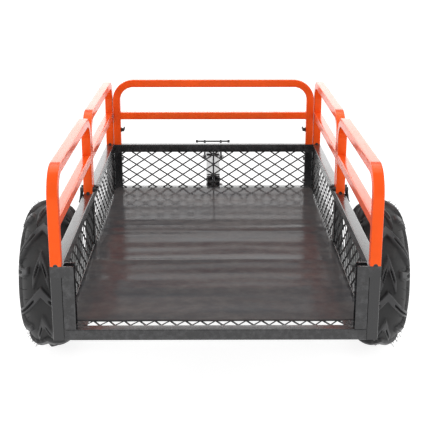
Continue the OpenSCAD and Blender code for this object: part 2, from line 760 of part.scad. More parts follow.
// Pressed rim with a drop centre, and a dished disc welded to the hub
rim_t = 3;
disc_z = 20;
stem_r = 4;
stem_at = seat_r - 8;
module rim(side) color(RIM) on_axle(side) {
    well = seat_r - 14;
    half = rim_w / 2;
    skin = [
        [seat_r + flange_h, half + rim_t], [seat_r + flange_h, half], [seat_r - face_gap, half],
        [seat_r - face_gap, 44], [well, 34], [well, -34], [seat_r - face_gap, -44],
        [seat_r - face_gap, -half], [seat_r + flange_h, -half], [seat_r + flange_h, -half - rim_t],
        [seat_r - rim_t, -half - rim_t], [seat_r - rim_t, -46], [well - rim_t, -36],
        [well - rim_t, 36], [seat_r - rim_t, 46], [seat_r - rim_t, half + rim_t]
    ];
    difference() {
        union() {
            rotate_extrude($fn = 96) polygon(skin);
            translate([0, 0, disc_z]) difference() {
                cylinder(r = well - rim_t / 2, h = 4);
                translate([0, 0, -1]) cylinder(r = hub_d / 2 + run_gap, h = 6);
            }
        }
        for (k = [0:4]) rotate([0, 0, 72 * k + 36]) translate([well * 0.62, 0, disc_z - 1])
            cylinder(r = 9, h = 6);
        translate([stem_at, 0, 30]) cylinder(r = stem_r + run_gap, h = 24);
    }
}

module hub(side) color(ZINC) on_axle(side) difference() {
    cylinder(d = hub_d, h = hub_l, center = true);
    cylinder(r = axle_d / 2 + 2, h = hub_l + 2, center = true);
    for (s = [-1, 1]) translate([0, 0, s * (hub_l / 2 - bearing_w / 2 + 0.5)])
        cylinder(r = bearing_d / 2 + run_gap, h = bearing_w + 1, center = true);
}

module bearings(side) color(ZINC) on_axle(side)
    for (s = [-1, 1]) translate([0, 0, s * (hub_l / 2 - bearing_w / 2)]) difference() {
        cylinder(d = bearing_d, h = bearing_w, center = true);
        cylinder(r = axle_d / 2 + run_gap, h = bearing_w + 2, center = true);
    }

module valve_stem(side) color(RUBBER) on_axle(side) translate([stem_at, 0, 0]) {
    translate([0, 0, 32]) cylinder(r = stem_r, h = 30);
    translate([0, 0, 60]) cylinder(r = stem_r - 1, h = 10);
}

module hub_cap(side) color(BLACK) on_axle(side) {
    lip = 6;
    deep = shaft_half - hub_out + 4;
    r_in = hub_d / 2 + run_gap;
    translate([0, 0, hub_l / 2 - lip]) rotate_extrude($fn = 64) polygon([
        [r_in, 0], [r_in + 2, 0], [r_in + 2, lip + deep - 3], [r_in - 2, lip + deep + 2],
        [0, lip + deep + 2], [0, lip + deep], [r_in - 3, lip + deep], [r_in, lip + deep - 4]
    ]);
}

module tyre_left() tyre(-1);
module rim_left() rim(-1);
module hub_left() hub(-1);
module bearings_left() bearings(-1);
module valve_stem_left() valve_stem(-1);
module hub_cap_left() hub_cap(-1);
module tyre_right() tyre(1);
module rim_right() rim(1);
module hub_right() hub(1);
module bearings_right() bearings(1);
module valve_stem_right() valve_stem(1);
module hub_cap_right() hub_cap(1);

// ---------- guard rails ----------

// Bent hoop in local XZ, foot at z = 0, middle at x = 0, as thick as w
module hoop_solid(len, height, w, bend, r) {
    leg_x = len / 2 - rail_tube / 2;
    top_z = height - rail_tube / 2;
    for (s = [-1, 1]) on_side(s) {
        bar([leg_x - w / 2, -w / 2, 0], [leg_x + w / 2, w / 2, top_z - bend], 2, r);
        translate([leg_x - bend, 0, top_z - bend]) rotate([90, 0, 0])
            rotate_extrude(angle = 90) translate([bend, 0]) outline(w, w, r);
    }
    bar([bend - leg_x, -w / 2, top_z - w / 2], [leg_x - bend, w / 2, top_z + w / 2], 0, r);
}

// Guard rail: hoop and middle bar of one tube, welded
module rail_shape(len) {
    in_w = rail_tube - 2 * tube_wall;
    leg_x = len / 2 - rail_tube / 2;
    mid_w = rail_tube - 2 * weld_step;
    mid_z = mid_bar_h;
    difference() {
        union() {
            hoop_solid(len, rail_h, rail_tube, rail_bend, tube_corner);
            bar([-leg_x, -mid_w / 2, mid_z - mid_w / 2], [leg_x, mid_w / 2, mid_z + mid_w / 2], 0);
        }
        hoop_solid(len, rail_h, in_w, rail_bend, tube_corner - tube_wall);
        bar([-leg_x, -mid_w / 2 + tube_wall, mid_z - mid_w / 2 + tube_wall],
            [leg_x, mid_w / 2 - tube_wall, mid_z + mid_w / 2 - tube_wall], 0, tube_corner - tube_wall);
        for (s = [-1, 1]) translate([s * leg_x, 0, -1]) bar(
            [-in_w / 2, -in_w / 2, 0], [in_w / 2, in_w / 2, 20], 2, tube_corner - tube_wall);
    }
}

front_rail_len = 2 * front_leg_x + rail_tube;
module front_rail() color(ORANGE) difference() {
    translate([0, front_leg_y, wall_z]) rail_shape(front_rail_len);
    for (s = [-1, 1]) rod_x([s * (front_leg_x - rail_tube / 2), front_leg_y, wall_z + wing_z],
        clamp_d / 2 + run_gap, 2 * tube_wall + 1);
}

// Wing screws on the inner faces of the front rail's legs, their tips against the spigots
module front_rail_wing_screws() color(BLACK)
    for (s = [-1, 1]) on_side(s) translate([front_leg_x - rail_tube / 2, front_leg_y, wall_z + wing_z]) {
        tip = tube_wall + spigot_gap - 0.2;
        rod_x([(tip - 12) / 2, 0, 0], clamp_d / 2, tip + 12);
        rod_x([-1, 0, 0], clamp_d / 2 + 5, 2);
        rod_x([-6, 0, 0], clamp_d / 2 + 3, 8);
        for (k = [-1, 1]) hull() {
            rod_x([-7, k * 5, 0], 3, 3);
            rod_x([-12, k * 15, 3], 6, 3);
        }
    }

// Side rails, rear (0) or front (1), and their clamp screws at the bed's middle
side_rail_len = side_leg_ys[0][1] - side_leg_ys[0][0] + rail_tube;
module side_rail(side, k) color(ORANGE) {
    ys = side_leg_ys[k];
    middle = ys[1 - k];
    difference() {
        translate([side * rail_x, (ys[0] + ys[1]) / 2, wall_z]) rotate([0, 0, 90])
            rail_shape(side_rail_len);
        for (y = ys) translate([side * rail_x, y, wall_z]) rotate([90, 0, 0])
            cylinder(r = notch_r, h = rail_tube + 2, center = true);
        rod_x([side * rail_x, middle, wall_z + lever_z], clamp_d / 2 + run_gap, rail_tube + 2);
    }
}

// A hexagon screw inside and a hanging clamp lever outside, their tips against the spigot
module side_rail_clamps(side, k) color(BLACK)
    on_side(side) translate([rail_x, side_leg_ys[k][1 - k], wall_z + lever_z]) {
        face = rail_tube / 2;
        tip = tube_wall + spigot_gap - 0.2;
        rod_x([-face + (tip - 14) / 2, 0, 0], clamp_d / 2, tip + 14);
        rod_x([-face - 1, 0, 0], clamp_d / 2 + 4, 2);
        hex_x([-face - 5.5, 0, 0], 13, 7);
        rod_x([face + (10 - tip) / 2, 0, 0], clamp_d / 2, tip + 10);
        rod_x([face + 6, 0, 0], clamp_d / 2 + 3.5, 12);
        tip_at = [face + 13, k == 0 ? -6 : 6, -38];
        rod([face + 8, 0, 0], tip_at, 3.5);
        translate(tip_at) sphere(5);
    }

module left_rear_rail() side_rail(-1, 0);
module left_front_rail() side_rail(-1, 1);
module right_rear_rail() side_rail(1, 0);
module right_front_rail() side_rail(1, 1);
module left_rear_rail_clamps() side_rail_clamps(-1, 0);
module left_front_rail_clamps() side_rail_clamps(-1, 1);
module right_rear_rail_clamps() side_rail_clamps(1, 0);
module right_front_rail_clamps() side_rail_clamps(1, 1);

side_frame_left();
side_frame_right();
front_frame();
floor_frame();
side_mesh_left();
side_mesh_right();
front_mesh();
floor_mesh();
floor_mat();
tailgate_channel_left();
tailgate_channel_right();
corner_gussets();
rail_spigots();
front_stay_rod();
panel_bolts();
hinge_lugs();
pivot_bolt();
latch_striker();
drawbar();
axle_beam();
axle_shaft();
axle_spacers();
axle_washers();
cotter_pins();
axle_saddle();
u_bolts();
u_bolt_nuts();
bed_rests();
rest_pads();
hitch_clevis();
latch_bracket();
latch_pin();
latch_spring();
handle_bolt();
latch_lever();
handle_loop();
handle_end_caps();
tyre_left();
rim_left();
hub_left();
bearings_left();
valve_stem_left();
hub_cap_left();
tyre_right();
rim_right();
hub_right();
bearings_right();
valve_stem_right();
hub_cap_right();
front_rail();
front_rail_wing_screws();
left_rear_rail();
left_rear_rail_clamps();
left_front_rail();
left_front_rail_clamps();
right_rear_rail();
right_rear_rail_clamps();
right_front_rail();
right_front_rail_clamps();
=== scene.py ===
import json
import math

import bmesh
import bpy
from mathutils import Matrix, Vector


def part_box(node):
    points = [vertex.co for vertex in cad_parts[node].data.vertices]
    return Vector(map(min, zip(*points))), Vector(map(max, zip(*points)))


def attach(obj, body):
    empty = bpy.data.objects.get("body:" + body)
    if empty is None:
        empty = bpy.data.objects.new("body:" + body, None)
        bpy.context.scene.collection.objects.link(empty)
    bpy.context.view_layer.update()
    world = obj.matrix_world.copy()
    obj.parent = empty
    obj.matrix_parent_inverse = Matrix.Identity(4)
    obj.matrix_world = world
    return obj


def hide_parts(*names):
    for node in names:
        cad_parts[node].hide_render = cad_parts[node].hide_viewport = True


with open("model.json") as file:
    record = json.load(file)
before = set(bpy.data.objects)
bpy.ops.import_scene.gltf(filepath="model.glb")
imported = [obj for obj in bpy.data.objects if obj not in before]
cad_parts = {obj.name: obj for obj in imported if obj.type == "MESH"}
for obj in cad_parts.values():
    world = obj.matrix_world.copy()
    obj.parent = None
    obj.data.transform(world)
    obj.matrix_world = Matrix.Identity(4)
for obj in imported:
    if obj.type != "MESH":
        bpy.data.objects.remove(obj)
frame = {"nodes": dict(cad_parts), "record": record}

# ---------- Camera, light and floor ----------
# The cart stands on a plain pale floor in a white studio. The camera stands behind the cart, a little
# left of its middle and above its guard rails, and looks down into the bed.

for start_name in ("Cube", "Light", "Camera"):
    if start_name in bpy.data.objects:
        bpy.data.objects.remove(bpy.data.objects[start_name], do_unlink=True)
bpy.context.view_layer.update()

REAR_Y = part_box("floor_frame")[0].y
WALL_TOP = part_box("side_frame_left")[1].z

LENS_MM = 79.53
CAMERA_LEFT, CAMERA_BEHIND, CAMERA_ABOVE = 0.014, 2.234, 0.822
LOOK_DOWN, LOOK_RIGHT = 17.09, 0.32


def linked(name, data):
    """A new object, put into the scene."""
    made = bpy.data.objects.new(name, data)
    bpy.context.collection.objects.link(made)
    return made


camera_data = bpy.data.cameras.new("studio_camera")
camera_data.sensor_width = 36
camera_data.lens = LENS_MM
camera = linked("studio_camera", camera_data)
camera.location = (-CAMERA_LEFT, REAR_Y - CAMERA_BEHIND, WALL_TOP + CAMERA_ABOVE)
camera.rotation_euler = (math.radians(90 - LOOK_DOWN), 0, math.radians(-LOOK_RIGHT))
bpy.context.scene.camera = camera
bpy.context.scene.view_settings.view_transform = "Standard"


def add_node(tree, kind, inputs=None, **settings):
    """One node of a tree. An input given as another node's socket is linked, and any other is set."""
    made = tree.nodes.new(kind)
    for key, value in settings.items():
        setattr(made, key, value)
    for key, value in (inputs or {}).items():
        if isinstance(value, bpy.types.NodeSocket):
            tree.links.new(value, made.inputs[key])
        else:
            made.inputs[key].default_value = value
    return made


studio = bpy.data.worlds.new("white_studio")
studio.use_nodes = True
bpy.context.scene.world = studio
# White walls all round, with a brighter one ahead of the cart that ends about 20 degrees up, and a tall lit
# panel on either side
WALL_LEVEL, AHEAD_EXTRA, PANEL_EXTRA = 0.72, 1.7, 1.6
sky = studio.node_tree
toward = add_node(sky, "ShaderNodeSeparateXYZ", {0: add_node(sky, "ShaderNodeTexCoord").outputs["Generated"]})
ahead = add_node(sky, "ShaderNodeMapRange", {"Value": toward.outputs["Y"], "From Min": 0.55, "From Max": 0.85})
below_top = add_node(sky, "ShaderNodeMapRange", {"Value": toward.outputs["Z"], "From Min": 0.40, "From Max": 0.30})
lit = add_node(sky, "ShaderNodeMath", {0: ahead.outputs[0], 1: below_top.outputs[0]}, operation="MULTIPLY")
sideways = add_node(sky, "ShaderNodeMath", {0: toward.outputs["X"]}, operation="ABSOLUTE")
beside = add_node(sky, "ShaderNodeMapRange", {"Value": sideways.outputs[0], "From Min": 0.88, "From Max": 0.94})
level = add_node(sky, "ShaderNodeMath", {0: lit.outputs[0], 1: AHEAD_EXTRA, 2: WALL_LEVEL},
                 operation="MULTIPLY_ADD")
level = add_node(sky, "ShaderNodeMath", {0: beside.outputs[0], 1: PANEL_EXTRA, 2: level.outputs[0]},
                 operation="MULTIPLY_ADD")
sky.nodes["Background"].inputs["Color"].default_value = (1, 1, 1, 1)
sky.links.new(level.outputs[0], sky.nodes["Background"].inputs["Strength"])


def soft_lamp(name, place, aim, size, watts):
    """A square lamp that lights the scene softly from a place towards another."""
    lamp = bpy.data.lights.new(name, "AREA")
    lamp.shape = "SQUARE"
    lamp.size = size
    lamp.energy = watts
    holder = linked(name, lamp)
    holder.location = place
    holder.rotation_euler = (Vector(aim) - Vector(place)).to_track_quat("-Z", "Y").to_euler()


soft_lamp("overhead_panel", (0, 0.2, 3.2), (0, -0.3, 0.3), 2.4, 34)
soft_lamp("left_panel", (-2.6, -2.8, 2.0), (0, -0.6, 0.4), 1.4, 24)
soft_lamp("right_panel", (2.8, -2.2, 1.8), (0, -0.6, 0.4), 1.4, 18)

FLOOR_REACH, FLOOR_DROP = 14, 0.0005
floor_mesh_data = bpy.data.meshes.new("studio_floor")
floor_mesh_data.from_pydata([(x * FLOOR_REACH, y * FLOOR_REACH, -FLOOR_DROP)
                             for x, y in ((-1, -1), (1, -1), (1, 1), (-1, 1))], [], [(0, 1, 2, 3)])
studio_floor = linked("studio_floor", floor_mesh_data)
floor_paint = bpy.data.materials.new("floor_paint")
floor_paint.use_nodes = True
floor_shader = floor_paint.node_tree.nodes["Principled BSDF"]
floor_shader.inputs["Base Color"].default_value = (0.40, 0.40, 0.40, 1)
floor_shader.inputs["Roughness"].default_value = 0.9
floor_shader.inputs["Specular IOR Level"].default_value = 0.1
floor_shader.inputs["Emission Color"].default_value = (1, 1, 1, 1)
floor_shader.inputs["Emission Strength"].default_value = 0.86
floor_mesh_data.materials.append(floor_paint)


# ---------- Welded tube panels of the bed ----------
# Two side panels, a front panel and a floor frame of 30 mm square steel tube with rounded corners. Each is
# welded, ground where panels meet and powder-coated in gloss black, so its corners catch the light.

def shader_group(name, inputs, outputs):
    """An empty shader group with its named sockets, its input node and its output node."""
    tree = bpy.data.node_groups.new(name, "ShaderNodeTree")
    for label, kind, value in inputs:
        socket = tree.interface.new_socket(label, in_out="INPUT", socket_type="NodeSocket" + kind)
        if value is not None:
            socket.default_value = value
    for label, kind in outputs:
        tree.interface.new_socket(label, in_out="OUTPUT", socket_type="NodeSocket" + kind)
    return tree, tree.nodes.new("NodeGroupInput"), tree.nodes.new("NodeGroupOutput")


def feed(tree, sockets, end):
    """Links sockets to the named inputs of a node."""
    for label, socket in sockets.items():
        tree.links.new(socket, end.inputs[label])


# Sprayed powder: a slight orange-peel skin and a gloss that drifts over the surface, with its colour varying a
# little
powder_group, start, end = shader_group(
    "sprayed_powder",
    [("Place", "Vector", None), ("Colour", "Color", (0.5, 0.5, 0.5, 1)), ("Gloss", "Float", 0.3),
     ("Peel Size", "Float", 0.002), ("Drift", "Float", 0.1)],
    [("Colour", "Color"), ("Roughness", "Float"), ("Height", "Float")])
per_metre = add_node(powder_group, "ShaderNodeMath", {0: 1.0, 1: start.outputs["Peel Size"]}, operation="DIVIDE")
peel = add_node(powder_group, "ShaderNodeTexNoise",
                {"Vector": start.outputs["Place"], "Scale": per_metre.outputs[0], "Detail": 2.0, "Roughness": 0.5})
broad = add_node(powder_group, "ShaderNodeTexNoise",
                 {"Vector": start.outputs["Place"], "Scale": 9.0, "Detail": 3.0, "Roughness": 0.55})
shade = add_node(powder_group, "ShaderNodeMapRange",
                 {"Value": broad.outputs["Fac"], "From Min": 0.3, "From Max": 0.7, "To Min": 0.9, "To Max": 1.1})
tinted = add_node(powder_group, "ShaderNodeVectorMath",
                  {0: start.outputs["Colour"], 1: shade.outputs[0]}, operation="MULTIPLY")
spread = add_node(powder_group, "ShaderNodeMath", {0: broad.outputs["Fac"], 1: 0.5}, operation="SUBTRACT")
spread = add_node(powder_group, "ShaderNodeMath", {0: spread.outputs[0], 1: start.outputs["Drift"]},
                  operation="MULTIPLY")
rough = add_node(powder_group, "ShaderNodeMath", {0: spread.outputs[0], 1: start.outputs["Gloss"]}, operation="ADD")
feed(powder_group, {"Colour": tinted.outputs[0], "Roughness": rough.outputs[0], "Height": peel.outputs["Fac"]}, end)

# Dust that settles on what faces up, in patches
dust_group, start, end = shader_group(
    "settled_dust",
    [("Place", "Vector", None), ("Colour", "Color", (0.5, 0.5, 0.5, 1)), ("Roughness", "Float", 0.3),
     ("Dust Colour", "Color", (0.32, 0.30, 0.27, 1)), ("Amount", "Float", 0.1)],
    [("Colour", "Color"), ("Roughness", "Float")])
facing = add_node(dust_group, "ShaderNodeSeparateXYZ",
                  {0: add_node(dust_group, "ShaderNodeNewGeometry").outputs["Normal"]})
upward = add_node(dust_group, "ShaderNodeMapRange",
                  {"Value": facing.outputs["Z"], "From Min": 0.2, "From Max": 1.0, "To Min": 0.15, "To Max": 1.0})
patches = add_node(dust_group, "ShaderNodeTexNoise",
                   {"Vector": start.outputs["Place"], "Scale": 26.0, "Detail": 5.0, "Roughness": 0.65})
patch = add_node(dust_group, "ShaderNodeMapRange",
                 {"Value": patches.outputs["Fac"], "From Min": 0.42, "From Max": 0.75})
lying = add_node(dust_group, "ShaderNodeMath", {0: patch.outputs[0], 1: upward.outputs[0]}, operation="MULTIPLY")
lying = add_node(dust_group, "ShaderNodeMath", {0: lying.outputs[0], 1: start.outputs["Amount"]},
                 operation="MULTIPLY", use_clamp=True)
dusted = add_node(dust_group, "ShaderNodeMix",
                  {"Factor": lying.outputs[0], 6: start.outputs["Colour"], 7: start.outputs["Dust Colour"]},
                  data_type="RGBA")
dull = add_node(dust_group, "ShaderNodeMath", {0: lying.outputs[0], 1: 0.5, 2: start.outputs["Roughness"]},
                operation="MULTIPLY_ADD")
feed(dust_group, {"Colour": dusted.outputs[2], "Roughness": dull.outputs[0]}, end)

# Outer corners mixed toward another colour, broken up along their length: coat rubbed thin, and where that colour
# is lighter, a painted highlight along the corners
edge_group, start, end = shader_group(
    "corner_wear_and_highlight",
    [("Place", "Vector", None), ("Colour", "Color", (0.5, 0.5, 0.5, 1)),
     ("Wear And Highlight Colour", "Color", (0.2, 0.2, 0.2, 1)), ("Amount", "Float", 0.4)],
    [("Colour", "Color")])
bend = add_node(edge_group, "ShaderNodeMapRange",
                {"Value": add_node(edge_group, "ShaderNodeNewGeometry").outputs["Pointiness"],
                 "From Min": 0.53, "From Max": 0.62})
breaks = add_node(edge_group, "ShaderNodeTexNoise",
                  {"Vector": start.outputs["Place"], "Scale": 55.0, "Detail": 4.0, "Roughness": 0.7})
broken = add_node(edge_group, "ShaderNodeMapRange",
                  {"Value": breaks.outputs["Fac"], "From Min": 0.45, "From Max": 0.7})
mask = add_node(edge_group, "ShaderNodeMath", {0: bend.outputs[0], 1: broken.outputs[0]}, operation="MULTIPLY")
mask = add_node(edge_group, "ShaderNodeMath", {0: mask.outputs[0], 1: start.outputs["Amount"]},
                operation="MULTIPLY", use_clamp=True)
wear_and_highlight = add_node(edge_group, "ShaderNodeMix",
                  {"Factor": mask.outputs[0], 6: start.outputs["Colour"], 7: start.outputs["Wear And Highlight Colour"]},
                  data_type="RGBA")
feed(edge_group, {"Colour": wear_and_highlight.outputs[2]}, end)


def blank_finish(name):
    """A material with its tree, its shader and the Object coordinates that its patterns follow."""
    finish = bpy.data.materials.new(name)
    finish.use_nodes = True
    tree = finish.node_tree
    place = add_node(tree, "ShaderNodeTexCoord").outputs["Object"]
    return finish, tree, tree.nodes["Principled BSDF"], place


def blended(tree, noise, first, second):
    """A colour between two others, by the middle of a noise's range."""
    share = add_node(tree, "ShaderNodeMapRange", {"Value": noise.outputs["Fac"], "From Min": 0.3, "From Max": 0.7})
    return add_node(tree, "ShaderNodeMix", {"Factor": share.outputs[0], 6: (*first, 1), 7: (*second, 1)},
                    data_type="RGBA").outputs[2]


def wear_and_highlight_on_corners(tree, place, colour, wear_and_highlight):
    """The colour with its outer corners mixed toward another: rubbed coat, and where it is lighter, a painted
    highlight.
    """
    corners = add_node(tree, "ShaderNodeGroup", node_tree=edge_group)
    feed(tree, {"Place": place, "Colour": colour}, corners)
    corners.inputs["Wear And Highlight Colour"].default_value = (*wear_and_highlight, 1)
    return corners.outputs["Colour"]


def dusted_over(tree, place, colour, roughness, amount):
    """Dust over a colour and a roughness, as the shader's own two sockets take them."""
    dusty = add_node(tree, "ShaderNodeGroup", node_tree=dust_group)
    feed(tree, {"Place": place, "Colour": colour, "Roughness": roughness}, dusty)
    dusty.inputs["Amount"].default_value = amount
    return {"Base Color": dusty.outputs["Colour"], "Roughness": dusty.outputs["Roughness"]}


def surface(tree, shader, sockets, height, strength, depth):
    """Ends a finish: its sockets go to the shader, with a relief of that depth in metres over them."""
    skin = add_node(tree, "ShaderNodeBump", {"Height": height, "Strength": strength, "Distance": depth})
    feed(tree, {**sockets, "Normal": skin.outputs["Normal"]}, shader)


def powder_coat(name, colour, wear_and_highlight, gloss, peel_size, peel_depth, dust, coat):
    """A sprayed and baked coat over steel: powder, then corners mixed as rubbed coat and a painted highlight, then
    dust, under a clear gloss.
    """
    finish, tree, shader, place = blank_finish(name)
    sprayed = add_node(tree, "ShaderNodeGroup", node_tree=powder_group)
    feed(tree, {"Place": place}, sprayed)
    sprayed.inputs["Colour"].default_value = (*colour, 1)
    sprayed.inputs["Gloss"].default_value = gloss
    sprayed.inputs["Peel Size"].default_value = peel_size
    with_wear_and_highlight = wear_and_highlight_on_corners(tree, place, sprayed.outputs["Colour"], wear_and_highlight)
    surface(tree, shader, dusted_over(tree, place, with_wear_and_highlight, sprayed.outputs["Roughness"], dust),
            sprayed.outputs["Height"], 0.5, peel_depth)
    shader.inputs["Coat Weight"].default_value = coat
    shader.inputs["Coat Roughness"].default_value = 0.12
    return finish


# The black coat's corners are painted a lighter grey: partly rubbed coat, partly a painted highlight along them.
black_coat = powder_coat("black_powder_coat_finish", (0.0105, 0.0105, 0.0115), (0.10, 0.10, 0.105),
                         0.26, 0.0024, 0.00007, 0.06, 0.25)


def refinished(node_name, finish):
    """Gives a CAD piece whose shape stays its detailed finish."""
    piece = frame["nodes"][node_name]
    for k in range(len(piece.data.materials)):
        piece.data.materials[k] = finish


def joined_copy(node_name, name, finish, body, smooth_to=32):
    """A copy of a CAD piece with its triangles joined up, so that its corners are found and shaded."""
    mesh = frame["nodes"][node_name].data.copy()
    mesh.name = name
    work = bmesh.new()
    work.from_mesh(mesh)
    bmesh.ops.remove_doubles(work, verts=work.verts, dist=0.00001)
    bmesh.ops.dissolve_degenerate(work, edges=work.edges, dist=0.000001)
    for face in work.faces:
        face.smooth = True
    for edge in work.edges:
        edge.smooth = edge.is_manifold and edge.calc_face_angle(0) < math.radians(smooth_to)
    plain = bpy.data.meshes.new(name)
    work.to_mesh(plain)
    work.free()
    bpy.data.meshes.remove(mesh)
    if "custom_normal" in plain.attributes:
        plain.attributes.remove(plain.attributes["custom_normal"])
    plain.materials.clear()
    plain.materials.append(finish)
    piece = linked(name, plain)
    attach(piece, body)
    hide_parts(node_name)


for panel in ("side_frame_left", "side_frame_right", "front_frame", "floor_frame"):
    joined_copy(panel, panel + "_welded", black_coat, "bed")
for fitting in ("tailgate_channel_left", "tailgate_channel_right", "corner_gussets", "rail_spigots",
                "front_stay_rod", "hinge_lugs", "latch_striker"):
    refinished(fitting, black_coat)


# ---------- Weld beads ----------
# MIG beads laid where the tubes meet: overlapping round drops of varied size along each joint, coated with the
# frame.
# They follow straight paths worked out from the panels' own boxes.

def grown(name, tree, values, body, start_mesh=None):
    """Runs a Geometry Nodes tree once, with its inputs set by name, and keeps the result as a plain piece."""
    maker = linked(name + "_maker", start_mesh or bpy.data.meshes.new(name + "_start"))
    modifier = maker.modifiers.new("maker", "NODES")
    modifier.node_group = tree
    for item in tree.interface.items_tree:
        if item.in_out == "INPUT" and item.name in values:
            modifier[item.identifier] = values[item.name]
    evaluated = maker.evaluated_get(bpy.context.evaluated_depsgraph_get())
    mesh = bpy.data.meshes.new_from_object(evaluated)
    mesh.name = name
    bpy.data.objects.remove(maker)
    piece = linked(name, mesh)
    if body:
        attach(piece, body)
    return piece


def geometry_tree(name, inputs):
    """An empty Geometry Nodes tree with its named inputs, its input node and its output node."""
    tree = bpy.data.node_groups.new(name, "GeometryNodeTree")
    for label, kind, value in inputs:
        socket = tree.interface.new_socket(label, in_out="INPUT", socket_type="NodeSocket" + kind)
        if value is not None:
            socket.default_value = value
    tree.interface.new_socket("Geometry", in_out="OUTPUT", socket_type="NodeSocketGeometry")
    return tree, tree.nodes.new("NodeGroupInput"), tree.nodes.new("NodeGroupOutput")


bead_tree, start, end = geometry_tree(
    "weld_beads", [("Geometry", "Geometry", None), ("Drop Pitch", "Float", 0.0028),
                   ("Drop Radius", "Float", 0.0019), ("Finish", "Material", None)])
path = add_node(bead_tree, "GeometryNodeMeshToCurve", {"Mesh": start.outputs["Geometry"]})
steps = add_node(bead_tree, "GeometryNodeResampleCurve",
                 {"Curve": path.outputs[0], "Length": start.outputs["Drop Pitch"]}, mode="LENGTH")
drop = add_node(bead_tree, "GeometryNodeMeshIcoSphere", {"Radius": start.outputs["Drop Radius"], "Subdivisions": 2})
vary = add_node(bead_tree, "FunctionNodeRandomValue", {2: 0.82, 3: 1.12, "Seed": 4})
drops = add_node(bead_tree, "GeometryNodeInstanceOnPoints",
                 {"Points": steps.outputs[0], "Instance": drop.outputs["Mesh"], "Scale": vary.outputs[1]})
solid = add_node(bead_tree, "GeometryNodeRealizeInstances", {0: drops.outputs[0]})
round_off = add_node(bead_tree, "GeometryNodeSetShadeSmooth", {0: solid.outputs[0]})
coated = add_node(bead_tree, "GeometryNodeSetMaterial",
                  {"Geometry": round_off.outputs[0], "Material": start.outputs["Finish"]})
bead_tree.links.new(coated.outputs[0], end.inputs[0])

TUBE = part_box("side_frame_left")[1].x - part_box("side_frame_left")[0].x
BED_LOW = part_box("floor_frame")[0].z
FRONT_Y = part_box("front_frame")[1].y
SIDE_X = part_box("side_frame_right")[1].x
INNER_X = SIDE_X - TUBE
AXLE_Y = (REAR_Y + FRONT_Y) / 2
DECK_TOP = BED_LOW + TUBE
BEAD_SINK = 0.0013  # a bead's line lies this far inside the faces that it joins
REAR_INSET = 0.0026  # and this far ahead of the bed's rear face, so that no drop stands out behind it
DECK_INSET, DECK_SINK = 0.0032, 0.0014
END_GAP = 0.003


def path_mesh(name, runs):
    """Straight runs between pairs of points, as a mesh of loose edges."""
    points, edges = [], []
    for a, b in runs:
        edges.append((len(points), len(points) + 1))
        points += [a, b]
    mesh = bpy.data.meshes.new(name)
    mesh.from_pydata(points, edges, [])
    return mesh


bed_joints = []
for side in (-1, 1):
    outer, inner = side * (SIDE_X - BEAD_SINK), side * (INNER_X + BEAD_SINK)
    for post_y in (REAR_Y + TUBE / 2, AXLE_Y, FRONT_Y - TUBE / 2):
        low_y, high_y = max(post_y - TUBE / 2 + BEAD_SINK, REAR_Y + REAR_INSET), post_y + TUBE / 2 - BEAD_SINK
        for z in (DECK_TOP, WALL_TOP - TUBE):
            if z == DECK_TOP and post_y < AXLE_Y - 0.1:
                bed_joints.append(((outer, high_y, BED_LOW + END_GAP), (outer, high_y, z - 0.002)))
                continue
            bed_joints.append(((outer, low_y, z), (outer, high_y, z)))
            bed_joints.append(((inner, low_y, z), (inner, high_y, z)))
            if post_y > REAR_Y + TUBE:
                bed_joints.append(((inner, low_y, z), (outer, low_y, z)))
            if post_y < FRONT_Y - TUBE:
                bed_joints.append(((inner, high_y, z), (outer, high_y, z)))
    bed_joints.append(((side * INNER_X, REAR_Y + DECK_INSET, DECK_TOP - DECK_SINK),
                       (side * INNER_X, REAR_Y + TUBE - END_GAP, DECK_TOP - DECK_SINK)))
    bed_joints.append(((side * INNER_X, REAR_Y + REAR_INSET, BED_LOW + END_GAP),
                       (side * INNER_X, REAR_Y + REAR_INSET, DECK_TOP - END_GAP)))
    for z in (DECK_TOP, WALL_TOP - TUBE):
        post_x = side * (INNER_X - TUBE / 2)
        for y in (FRONT_Y - TUBE + BEAD_SINK, FRONT_Y - BEAD_SINK):
            bed_joints.append(((post_x - TUBE / 2, y, z), (post_x + TUBE / 2, y, z)))
grown("bed_weld_beads", bead_tree, {"Drop Pitch": 0.0028, "Drop Radius": 0.0019, "Finish": black_coat},
      "bed", path_mesh("bed_joints", bed_joints))

DRAW_LOW, DRAW_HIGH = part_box("drawbar")
SADDLE_LOW, SADDLE_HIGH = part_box("axle_saddle")
BEAM_LOW, BEAM_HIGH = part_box("axle_beam")
REST_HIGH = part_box("bed_rests")[1]
CLEVIS_LOW, CLEVIS_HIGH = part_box("hitch_clevis")
half_bar = CLEVIS_HIGH.x
SADDLE_END, REST_WIDTH, BEAM_CORNER = 0.022, 0.06, 0.004
chassis_joints = []
for side in (-1, 1):
    for z in (DRAW_LOW.z, BED_LOW):
        chassis_joints.append(((side * (half_bar - BEAD_SINK), CLEVIS_LOW.y, z),
                               (side * (half_bar - BEAD_SINK), DRAW_HIGH.y, z)))
    chassis_joints.append(((side * half_bar, SADDLE_LOW.y + SADDLE_END, DRAW_LOW.z),
                           (side * half_bar, SADDLE_HIGH.y - SADDLE_END, DRAW_LOW.z)))
    for x in (REST_HIGH.x, REST_HIGH.x - REST_WIDTH):
        chassis_joints.append(((side * x, BEAM_LOW.y + BEAM_CORNER, BEAM_HIGH.z),
                               (side * x, BEAM_HIGH.y - BEAM_CORNER, BEAM_HIGH.z)))
grown("undercarriage_weld_beads", bead_tree, {"Drop Pitch": 0.003, "Drop Radius": 0.0022, "Finish": black_coat},
      "undercarriage", path_mesh("chassis_joints", chassis_joints))


# ---------- Expanded steel mesh ----------
# Sheet steel slit and pulled open into diamonds, so its strands lie tilted and meet in doubled bonds. Four
# sheets are welded inside the tubes: two walls, the front and the floor, where the diamonds run lengthways.

